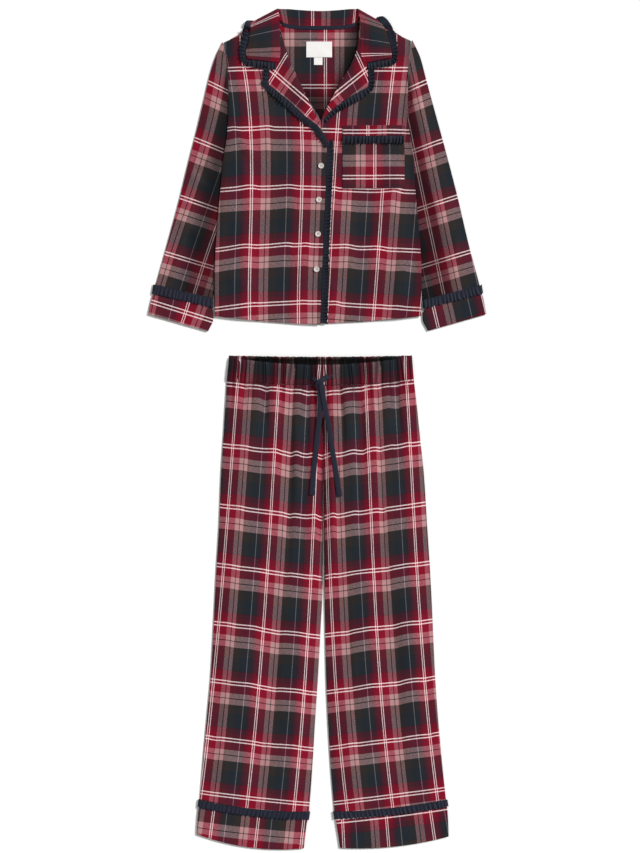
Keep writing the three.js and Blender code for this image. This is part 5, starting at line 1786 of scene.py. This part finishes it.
RIGHT_LEG_CHART = CheckChart(
    (
        (-157, 149, 0), (-163, 94, 0), (-182, -38, 0), (-199, -273, 0), (-225, -554, 0), (-242, -775, 0),
        (-80, 135, 1), (-77, 80, 1), (-85, -6, 1), (-103, -273, 1), (-123, -548, 1), (-152, -794, 1),
        (-5, 129, 2), (-3, 38, 2), (-6, -273, 2), (-23, -548, 2), (-49, -803, 2),
    ),
    (
        (-187, 94, 0), (-3, 82, 0), (-196, -28, 1), (-118, -43, 1), (-22, -52, 1), (-204, -155, 2),
        (-87, -174, 2), (10, -185, 2), (-99, -296, 3), (10, -313, 3), (-5, -554, 5), (-232, -640, 6),
        (-137, -655, 6), (-7, -667, 6), (-244, -758, 7), (-148, -775, 7), (-16, -781, 7),
    ),
)
LEFT_LEG_CHART = CheckChart(
    (
        (21, 133, 0), (29, 38, 0), (18, -153, 0), (18, -273, 0), (36, -548, 0), (66, -801, 0),
        (96, 135, 1), (109, 94, 1), (107, -25, 1), (110, -174, 1), (115, -273, 1), (133, -548, 1),
        (157, -790, 1), (172, 149, 2), (184, 105, 2), (196, -27, 2), (203, -153, 2), (212, -273, 2),
        (233, -548, 2), (250, -777, 2),
    ),
    (
        (16, 82, 0), (109, 89, 0), (203, 103, 0), (46, -51, 1), (107, -44, 1), (216, -25, 1),
        (18, -183, 2), (111, -172, 2), (226, -151, 2), (29, -668, 6), (138, -649, 6), (258, -636, 6),
        (37, -781, 7), (155, -766, 7), (266, -754, 7),
    ),
)
LEG_BACK_CHART = CheckChart(((-90, -300, 0), (110, -300, 2)), ((0, -40, 0),))
LEG_CREASES = (
    Crease((-148, 98), (-153, 30), 6, -2.5, 2),
    Crease((-125, 98), (-132, -20), 11, 2.5, -3),
    Crease((-103, 100), (-108, 10), 6, -3.4, 2),
    Crease((-80, 98), (-88, -150), 13, 3.6, 4),
    Crease((-56, 98), (-66, -330), 8, -3.4, -5),
    Crease((-36, 98), (-42, -180), 9, 3.4, 3),
    Crease((-18, 96), (-22, -60), 6, -2.8, 1),
    Crease((-3, 60), (-5, -320), 9, 5.0, 1),
    Crease((29, 60), (33, -320), 9, 5.3, -1),
    Crease((48, 98), (56, -50), 6, -3.4, -2),
    Crease((66, 98), (76, -260), 12, 3.4, -4),
    Crease((94, 98), (100, -90), 7, -3.1, 3),
    Crease((112, 98), (124, -200), 13, 3.6, -4),
    Crease((126, 96), (150, -330), 8, -2.7, 4),
    Crease((146, 98), (158, -60), 9, 2.5, 2),
    Crease((167, 98), (178, -20), 7, -2.8, 2),
    Crease((186, 90), (196, -110), 9, 2.2, 2),
    Crease((-150, 60), (-176, -260), 16, 2.1, -5),
    Crease((-66, -300), (-92, -700), 14, -2.5, 8),
    Crease((-120, -260), (-146, -640), 24, 3.1, 7),
    Crease((-40, -380), (-58, -760), 20, 2.8, -5),
    Crease((-180, -240), (-204, -600), 16, 2.2, -4),
    Crease((-200, -520), (-222, -760), 14, -2.0, 3),
    Crease((-112, -560), (-124, -780), 12, -1.7, -3),
    Crease((92, -240), (112, -680), 24, 3.1, -7),
    Crease((62, -330), (74, -600), 11, -2.2, 3),
    Crease((150, -300), (176, -720), 13, -2.5, -6),
    Crease((186, -220), (214, -640), 20, 2.8, 6),
    Crease((62, -520), (88, -780), 18, 2.5, 5),
    Crease((226, -480), (244, -740), 12, -1.8, 3),
    Crease((-30, -310), (-110, -352), 12, 2.1, 3),
    Crease((60, -306), (140, -340), 13, 2.1, -3),
)


def gather_phase(warp: np.ndarray, down: np.ndarray | float) -> np.ndarray:
    """Phase of the uneven gathers that follow the cloth's warp and slant down the casing."""
    turns = 2 * math.pi * warp
    slant = 1.5 * np.sin(turns * 0.8 + 0.9) + 1.1 * np.sin(turns * 2.3 + 2.2)
    return turns * 8.2 + 2.3 * np.sin(turns * 1.7 + 0.4) + 1.2 * np.sin(turns * 4.1 + 1.9) + slant * down


def gathering(warp: np.ndarray, down: np.ndarray | float = 1.0) -> np.ndarray:
    """Uneven round gathers, on broader ones, from 0 to 1."""
    phase = gather_phase(warp, down)
    fine = 0.5 + 0.5 * np.sin(phase)
    broad = 0.5 + 0.5 * np.sin(phase / 3.3 + 1.0)
    return 0.68 * fine * (0.7 + 0.3 * np.sin(phase / 5.1)) + 0.32 * broad


@dataclass
class TrouserLegs:
    """Fronts and backs of both legs."""

    loft_share: float = 0.2
    gather_depth: float = 3.6
    gather_fade: float = 26.0
    wobble: float = 0.006
    # Painted shade in the gathers' valleys below the waist, and painted shadow in the groove beside the
    # centre seam
    valley_shade: float = 0.55
    valley_fade: float = 20.0
    groove_shade: float = 0.85
    groove_width: float = 3.4

    def front(self, sections: Sequence[Section], chart: CheckChart) -> Shape:
        """Wall of a leg's front, gathered at the waist and bent down at its seams."""
        layout = Layout(sections)
        along = spread(layout.length, FINE + 0.6)
        across = spread(layout.width, 2.6) / layout.width
        plan = layout.plan(along, across)
        x, y = plan[..., 0], plan[..., 1]
        numbers = chart.read(x, y)
        share = across[None, :] + 0 * x
        seam_side = np.minimum(share, 1 - share) * layout.width
        loft = LEG_LOFT * ease(np.minimum(share, 1 - share), 0, self.loft_share)
        soft = ease(seam_side, 2.0, 14.0)
        fade = np.exp(-along / self.gather_fade)[:, None]
        folds = 0.5 + 0.5 * np.sin(gather_phase(numbers[..., 0], 1.0) / 3.3 + 1.0)
        gathers = self.gather_depth * (fade * (gathering(numbers[..., 0]) - 0.3) + fade**0.35 * (folds - 0.5))
        low = ease(layout.length - along, 0, 40)[:, None]
        uneven = soft * (creased(LEG_CREASES, x, y) + 0.55 * (1 + rumple(x, y, 110.0, 6)) * low)
        near = ramp(seam_side, 0, 7.0)
        rounded = np.sqrt(1 - (1 - near) ** 2)
        seam = CLOTH + SEAM + UNDER - 0.2
        base = CLOTH + LAYER - UNDER
        middle = seam + (base + loft + uneven + gathers * soft - seam) * rounded
        numbers[..., 1] += self.wobble * creased(LEG_CREASES, x, y)
        # Painted shade in the gathers' valleys, and painted shadow in the groove beside the centre seam
        valley_fade = self.valley_shade * np.exp(-along / self.valley_fade)[:, None]
        painted_valley_shades = valley_fade * (1 - gathering(numbers[..., 0])) ** 2
        beside = (1 - share) * layout.width
        painted_groove_shadow = self.groove_shade * np.exp(-((beside / self.groove_width) ** 2))
        painted_groove_shadow = painted_groove_shadow * ease(-y, 10, 90) * (1 - ease(-y, 318, 336))
        return wall(np.dstack([x, y, middle]), numbers, CLOTH, np.maximum(painted_valley_shades, painted_groove_shadow))

    def back(self, sections: Sequence[Section]) -> Shape:
        """Wall of a leg's back, flat on the floor."""
        layout = Layout(sections)
        plan = layout.plan(spread(layout.length, COARSE), spread(layout.width, COARSE) / layout.width)
        x, y = plan[..., 0], plan[..., 1]
        return wall(np.dstack([x, y, UNDER + 0 * x]), LEG_BACK_CHART.read(x, y), CLOTH)

    def build(self) -> None:
        """Makes both legs."""
        for side, sections, chart in (
            ("right", RIGHT_LEG, RIGHT_LEG_CHART), ("left", LEFT_LEG, LEFT_LEG_CHART)
        ):
            sew(f"leg_back_{side}", self.back(sections), FLANNEL)
            sew(f"leg_front_{side}", self.front(sections, chart), FLANNEL)


LEG_CUFF_START = 5.0
LEG_CUFF_TOP = 5.4
RIGHT_LEG_CUFF = (
    Section((-246.5, -778.5), (-18, -804), -7, CUFF_FLOOR, LEG_CUFF_START),
    Section((-248.5, -793), (-20, -819), -7, CUFF_FLOOR, LEG_CUFF_START),
    Section((-250, -803), (-22, -828), -7, 0, LEG_CUFF_TOP),
    Section((-252, -828), (-25, -852), -7, 0, LEG_CUFF_TOP),
    Section((-253, -850), (-28, -880), -13, 0, LEG_CUFF_TOP),
)
LEFT_LEG_CUFF = (
    Section((270.5, -778.5), (36.5, -804), 5, CUFF_FLOOR, LEG_CUFF_START),
    Section((272.5, -792), (38.5, -818), 5, CUFF_FLOOR, LEG_CUFF_START),
    Section((273.5, -803), (40, -828), 5, 0, LEG_CUFF_TOP),
    Section((275, -828), (44, -852), 6, 0, LEG_CUFF_TOP),
    Section((276, -855), (48, -879), 9, 0, LEG_CUFF_TOP),
)
RIGHT_LEG_RING = (
    Section((-249.5, -778.5), (-15, -804.5), -7, 0, 0.25),
    Section((-251.5, -793), (-17, -819), -7, 0, 1.0),
)
LEFT_LEG_RING = (
    Section((273.5, -778.5), (33.5, -804.5), 5, 0, 0.25),
    Section((275.5, -792), (35.5, -818), 5, 0, 1.0),
)
RIGHT_LEG_CUFF_CHART = CheckChart(
    ((-217, -800, 0), (-225, -860, 0), (-123, -816, -1), (-130, -876, -1), (-28, -821, -2), (-34, -876, -2)),
    ((-246, -837, 0.3), (-162, -848, 0.3), (-43, -859, 0.3)),
    180,
)
LEFT_LEG_CUFF_CHART = CheckChart(
    ((53, -815, 0), (56, -876, 0), (145, -811, -1), (150, -874, -1), (237, -798, -2), (247, -863, -2)),
    ((43, -827, 0), (153, -815, 0), (268, -799, 0)),
    180,
)


@dataclass
class LegCuffs:
    """Cuffs and ruffle rings at the leg hems."""

    ring_height: float = LEG_CUFF_START + SEAM + TRIM
    hem_stitch: float = 6.0

    def build(self) -> None:
        """Makes the cuffs and rings."""
        for side, cuff, ring, chart, seed in (
            ("right", RIGHT_LEG_CUFF, RIGHT_LEG_RING, RIGHT_LEG_CUFF_CHART, 41),
            ("left", LEFT_LEG_CUFF, LEFT_LEG_RING, LEFT_LEG_CUFF_CHART, 42),
        ):
            band = FlatTube(f"leg_cuff_{side}", cuff, chart, TRIM, 4.0)
            sew(band.node, band.shape(), FLANNEL)
            ruffle = RuffleRing(f"leg_ruffle_{side}", ring, TRIM_CHART, TRIM, 1.5, (), seed,
                                waves=14, height=self.ring_height)
            sew(ruffle.node, trim_scaled(ruffle.shape()), NAVY_COTTON)
            layout = Layout(cuff)
            plan = layout.plan(np.array([layout.length - self.hem_stitch]), np.linspace(0.01, 0.99, 60))
            stitch("trousers", plan[0], lambda x, y: 0 * x + LEG_CUFF_TOP)


WAIST_FRONT = (
    Section((-185, 151), (198, 152), -17),
    Section((-187.5, 126), (200.5, 126), -12),
    Section((-190, 100.5), (203, 101.5), -8.5),
)
WAIST_BACK = (
    Section((-185, 154.5), (199, 154.5), -3),
    Section((-190, 100.5), (203, 101.5), -8.5),
)
CENTRE_SEAM = 13.0


@dataclass
class Waist:
    """Gathered casing round the elastic."""

    wall: float = 1.2
    back_wave: float = 0.7
    front_wave: float = 4.2
    lip: float = 8.5
    mouth: float = 7.5
    loft_share: float = 0.17
    sway: float = 0.02
    edge_wave: float = 1.4
    # Painted shade in the gathers' valleys and on the inside of the back band, lighter on its ridges
    valley_shade: float = 0.75
    inside_shade: float = 0.93
    ridge_light: float = 0.45

    def band(self, sections: Sequence[Section], height: Callable) -> Shape:
        """Wall of a band in two halves that meet at the centre seam, each with its leg's check."""
        layout = Layout(sections)
        halves = []
        centre = (CENTRE_SEAM - sections[0].outer[0]) / (sections[0].inner[0] - sections[0].outer[0])
        along = spread(layout.length, 2.2)
        for start, end, chart in ((0.0, centre, RIGHT_LEG_CHART), (centre, 1.0, LEFT_LEG_CHART)):
            length = layout.width * (end - start)
            across = start + spread(length, 1.1) / layout.width
            plan = layout.plan(along, across)
            x, y = plan[..., 0], plan[..., 1]
            numbers = chart.read(x, np.minimum(y, 140.0))
            numbers[..., 1] -= np.maximum(0.0, y - 140.0) / WEFT_REPEAT
            down = (along / layout.length)[:, None]
            # Middle height and painted shade of each point
            middle, painted_shade = height(numbers[..., 0], across[None, :] + 0 * x, down)
            inner = ease(across - start, 0, 0.02) * ease(end - across, 0, 0.02)
            edge = (1 - ease(down, 0, 0.25)) * inner
            y = y + self.edge_wave * (gathering(numbers[..., 0], down) - 0.5) * edge
            numbers[..., 0] += self.sway * np.sin(gather_phase(numbers[..., 0], down)) * inner
            halves.append(wall(np.dstack([x, y, middle]), numbers, self.wall, painted_shade))
        return joined(halves)

    def front_height(
        self, warp: np.ndarray, share: np.ndarray, down: np.ndarray
    ) -> tuple[np.ndarray, np.ndarray]:
        """Middle height and painted shade of the front band, gathered, and raised at its mouth; the painted
        shade lies in the gathers' valleys.
        """
        centre = ease(np.minimum(share, 1 - share), 0, self.loft_share)
        floor = CLOTH + self.back_wave + SEAM + self.wall / 2
        body = 1.4 * np.sin(math.pi * np.clip(down, 0, 1)) ** 0.6
        mouth = self.mouth * centre * (1 - ease(down, 0.0, 1.1))
        pinch = 0.35 + 0.65 * ease(down, 0, 0.12) * (1 - 0.35 * ease(down, 0.85, 1.0))
        gathers = gathering(warp, down)
        level = floor + body + mouth + 1.5 * centre + self.front_wave * pinch * gathers
        return level, self.valley_shade * (1 - gathers) ** 1.6

    def back_height(
        self, warp: np.ndarray, share: np.ndarray, down: np.ndarray
    ) -> tuple[np.ndarray, np.ndarray]:
        """Middle height and painted shade of the back band, whose upper edge stands up round the inside; the
        painted shade darkens the inside, less on the gathers' ridges.
        """
        centre = ease(np.minimum(share, 1 - share), 0, self.loft_share)
        rim = np.exp(-((down / 0.11) ** 2))
        gathers = gathering(warp * 0.8 + 0.3, down)
        level = self.wall / 2 + self.lip * centre * rim + 1.6 * gathers * ease(1 - down, 0.3, 0.7) * centre
        # Painted shade on the inside of the back band, lighter on the gathers' ridges
        inside = ease(np.minimum(share, 1 - share), 0.03, 0.14) * ease(down, 0.0, 0.1)
        return level, inside * (self.inside_shade - self.ridge_light * gathers**3)

    def build(self) -> None:
        """Makes both bands."""
        sew("waistband_back", self.band(WAIST_BACK, self.back_height), FLANNEL)
        sew("waistband_front", self.band(WAIST_FRONT, self.front_height), FLANNEL)


@dataclass
class Drawstring:
    """Flat cotton tie: two ends from the casing, a half knot, and two free tails."""

    width: float = 11.0
    thickness: float = 1.6
    rest: float = 10.6
    pitch: float = 3.0

    def ribbon(self, points: Sequence[tuple[float, float, float]]) -> tuple[Shape, np.ndarray]:
        """Flat tape along a route, level across.

        Args:
            points: Route through the middle of the tape.

        Returns:
            Its wall, and the route's points.
        """
        route = np.array(points, float)
        keys = np.concatenate([[0.0], np.cumsum(np.linalg.norm(np.diff(route, axis=0), axis=1))])
        along = spread(keys[-1], self.pitch)
        centre = smooth_read(keys, route, along)
        tangent = unit(np.gradient(centre, along, axis=0))
        sideways = unit(np.cross(tangent, np.array([0.0, 0.0, 1.0])))
        across = spread(self.width, 1.2) - self.width / 2
        middle = centre[:, None, :] + sideways[:, None, :] * across[None, :, None]
        normal = unit(np.cross(sideways, tangent))[:, None, :]
        cup = 0.35 * (1 - (across / across[-1]) ** 2)[None, :, None]
        middle = middle + normal * np.where(normal[..., 2:] < 0, -cup, cup)
        chart = np.dstack(np.broadcast_arrays(along[:, None] / 10, across[None, :] / 10))
        return wall(middle, chart, self.thickness), centre

    def build(self) -> None:
        """Makes the two short ends, the knot and the two tails as flat tapes."""
        rest = self.rest
        tails = {
            "right": [(4, 97, 10.4), (5.6, 80, 11.0), (6.4, 62, 11.0), (5.2, 30, rest), (2, 0, rest),
                      (-1.8, -35, rest), (-5.3, -70, rest), (-8.6, -105, rest), (-11, -139, rest)],
            "left": [(8, 97, 12.8), (10.6, 80, 13.4), (13.4, 62, 13.2), (18.4, 35, 12.6), (24, 8, 11.6),
                     (29.6, -30, rest), (35.6, -68, rest), (41.4, -105, rest), (47, -141, rest)],
        }
        ends = {
            "drawstring_end_right": [(-9, 110, 8.4), (-5, 106, 9.4), (0, 102, 10.2), (5, 98, 10.6)],
            "drawstring_end_left": [(33, 117.5, 8.4), (27, 114, 10.6), (20, 109, 12.4), (13, 104, 13.2),
                                    (8, 100, 13.4)],
        }
        for node, route in ends.items():
            shape, _ = self.ribbon(route)
            piece = make_object(f"{node}_tape", shape, NAVY_TIE)
            place_piece(piece, [node])
        wrap = [(16, 106, 12.6), (11, 103, 14.0), (6, 99, 14.4), (1.5, 94.5, 13.4), (-0.5, 91, 11.0),
                (1, 89.5, 8.9)]
        shape, _ = self.ribbon(wrap)
        knot = make_object("drawstring_knot_tape", shape, NAVY_TIE)
        place_piece(knot, ["drawstring_knot"])
        for side, route in tails.items():
            shape, centre = self.ribbon(route)
            node = f"drawstring_tail_{side}"
            tail = make_object(f"{node}_tape", shape, NAVY_TIE)
            place_piece(tail, [node])


class StitchMaker:
    """Geometry Nodes tree that sets one small thread loop at every stitch of a row."""

    def __init__(self) -> None:
        """Builds the tree with its named inputs."""
        self.tree = bpy.data.node_groups.new("stitch_rows", "GeometryNodeTree")
        face = self.tree.interface
        face.new_socket("Geometry", in_out="INPUT", socket_type="NodeSocketGeometry")
        self.inputs = {
            name: face.new_socket(name, in_out="INPUT", socket_type=kind).identifier
            for name, kind in (
                ("Pitch", "NodeSocketFloat"), ("Stitch Length", "NodeSocketFloat"),
                ("Thread", "NodeSocketFloat"), ("Material", "NodeSocketMaterial"),
            )
        }
        face.new_socket("Geometry", in_out="OUTPUT", socket_type="NodeSocketGeometry")
        tree = self.tree
        given = add_node(tree, "NodeGroupInput")
        rows = add_node(
            tree, "GeometryNodeResampleCurve", {"mode": "LENGTH"},
            {"Curve": given.outputs["Geometry"], "Length": given.outputs["Pitch"]},
        )
        tangent = add_node(tree, "GeometryNodeInputTangent")
        turn = add_node(
            tree, "FunctionNodeAlignRotationToVector", {"axis": "X"}, {"Vector": tangent.outputs[0]}
        )
        ball = add_node(tree, "GeometryNodeMeshUVSphere", None, {"Segments": 5, "Rings": 4, "Radius": 0.5})
        size = add_node(
            tree, "ShaderNodeCombineXYZ", None,
            {"X": given.outputs["Stitch Length"], "Y": given.outputs["Thread"], "Z": given.outputs["Thread"]},
        )
        loops = add_node(
            tree, "GeometryNodeInstanceOnPoints", None,
            {"Points": rows.outputs[0], "Instance": ball.outputs["Mesh"], "Rotation": turn.outputs[0],
             "Scale": size.outputs[0]},
        )
        real = add_node(tree, "GeometryNodeRealizeInstances", None, {"Geometry": loops.outputs[0]})
        threaded = add_node(
            tree, "GeometryNodeSetMaterial", None,
            {"Geometry": real.outputs[0], "Material": given.outputs["Material"]},
        )
        add_node(tree, "NodeGroupOutput", None, {"Geometry": threaded.outputs[0]})

    def make(
        self, name: str, lines: Sequence[StitchLine], finish: PlainWeave, length: float, thread: float
    ) -> None:
        """Turns rows of stitches into one piece.

        Args:
            name: Name of the piece.
            lines: Rows to sew.
            finish: Thread that they are sewn with.
            length: Length of one stitch.
            thread: Thickness of the thread.
        """
        curve = bpy.data.curves.new(f"{name}_rows", "CURVE")
        curve.dimensions = "3D"
        for line in lines:
            spline = curve.splines.new("POLY")
            spline.points.add(len(line.points) - 1)
            flat = np.column_stack([line.points * MM, np.ones(len(line.points))])
            spline.points.foreach_set("co", flat.astype(np.float32).ravel())
        rows = bpy.data.objects.new(f"{name}_rows", curve)
        bpy.context.scene.collection.objects.link(rows)
        modifier = rows.modifiers.new("stitches", "NODES")
        modifier.node_group = self.tree
        for socket, value in (
            ("Pitch", lines[0].pitch * MM), ("Stitch Length", length * MM), ("Thread", thread * MM),
            ("Material", material_of(finish)),
        ):
            modifier[self.inputs[socket]] = value
        bpy.context.view_layer.update()
        graph = bpy.context.evaluated_depsgraph_get()
        mesh = bpy.data.meshes.new_from_object(rows.evaluated_get(graph))
        bpy.data.objects.remove(rows)
        mesh.name = name
        if "cloth" not in mesh.uv_layers:
            mesh.uv_layers.new(name="cloth")
        mesh.polygons.foreach_set("use_smooth", np.ones(len(mesh.polygons), bool))
        piece = bpy.data.objects.new(name, mesh)
        bpy.context.scene.collection.objects.link(piece)
        place_piece(piece, [])


def build_stitching() -> None:
    """Sews all the rows that the pieces have asked for."""
    maker = StitchMaker()
    maker.make("shirt_stitching", STITCHES["shirt"], THREAD, 2.4, 0.5)
    maker.make("trouser_stitching", STITCHES["trousers"], THREAD, 2.4, 0.5)
    maker.make("navy_stitching", STITCHES["navy"], NAVY_THREAD, 1.4, 0.45)


@dataclass
class Studio:
    """Pale floor, soft light from the upper right, and a camera that looks straight down."""

    aim: Point = (5.8, 5.3)
    camera_height: float = 4976.0
    lens: float = 100.0
    sensor: float = 36.0
    floor_size: float = 9.0
    floor_drop: float = 0.4
    floor_colour: str = "#fcfcfb"
    sky: float = 0.34
    key_strength: float = 3.4
    fill_strength: float = 0.35

    def light(
        self, name: str, strength: float, spread_angle: float, towards: tuple[float, float, float]
    ) -> None:
        """Even light from a wide, far source in the given direction."""
        lamp = bpy.data.lights.new(name, "SUN")
        lamp.energy = strength
        lamp.angle = math.radians(spread_angle)
        holder = bpy.data.objects.new(name, lamp)
        holder.location = towards
        holder.rotation_euler = Vector(towards).to_track_quat("Z", "Y").to_euler()
        bpy.context.scene.collection.objects.link(holder)

    def build(self) -> None:
        """Makes the floor, the lights and the camera."""
        half = self.floor_size / 2
        mesh = bpy.data.meshes.new("studio_floor")
        drop = -self.floor_drop * MM
        corners = [(-half, -half, drop), (half, -half, drop), (half, half, drop), (-half, half, drop)]
        mesh.from_pydata(corners, [], [(0, 1, 2, 3)])
        floor = bpy.data.objects.new("studio_floor", mesh)
        bpy.context.scene.collection.objects.link(floor)
        paper, _, shader = new_material("studio_paper")
        shader.inputs["Base Color"].default_value = linear(self.floor_colour)
        shader.inputs["Roughness"].default_value = 0.95
        mesh.materials.append(paper)
        world = bpy.data.worlds.new("studio_sky")
        world.use_nodes = True
        world.node_tree.nodes["Background"].inputs["Color"].default_value = (1.0, 1.0, 1.0, 1.0)
        world.node_tree.nodes["Background"].inputs["Strength"].default_value = self.sky
        bpy.context.scene.world = world
        self.light("key_light", self.key_strength, 16.0, (2.6, 1.5, 2.5))
        self.light("fill_light", self.fill_strength, 40.0, (-2.4, -0.6, 2.2))
        camera = bpy.data.objects.new("camera", bpy.data.cameras.new("camera"))
        camera.data.lens = self.lens
        camera.data.sensor_width = self.sensor
        camera.data.clip_end = 50.0
        camera.location = (self.aim[0] * MM, self.aim[1] * MM, self.camera_height * MM)
        bpy.context.scene.collection.objects.link(camera)
        bpy.context.scene.camera = camera
        bpy.context.scene.view_settings.view_transform = "Standard"


def main() -> None:
    """Builds the pyjama set piece by piece."""
    logging.basicConfig(level=logging.INFO, format="%(name)s: %(message)s")
    Studio().build()
    Drawstring().build()
    BODY.build()
    Sleeves().build()
    Collar().build()
    Lapels().build()
    build_ruffles()
    Pocket().build()
    Labels().build()
    Buttons().build()
    TrouserLegs().build()
    LegCuffs().build()
    Waist().build()
    build_stitching()


if __name__ == "__main__":
    main()
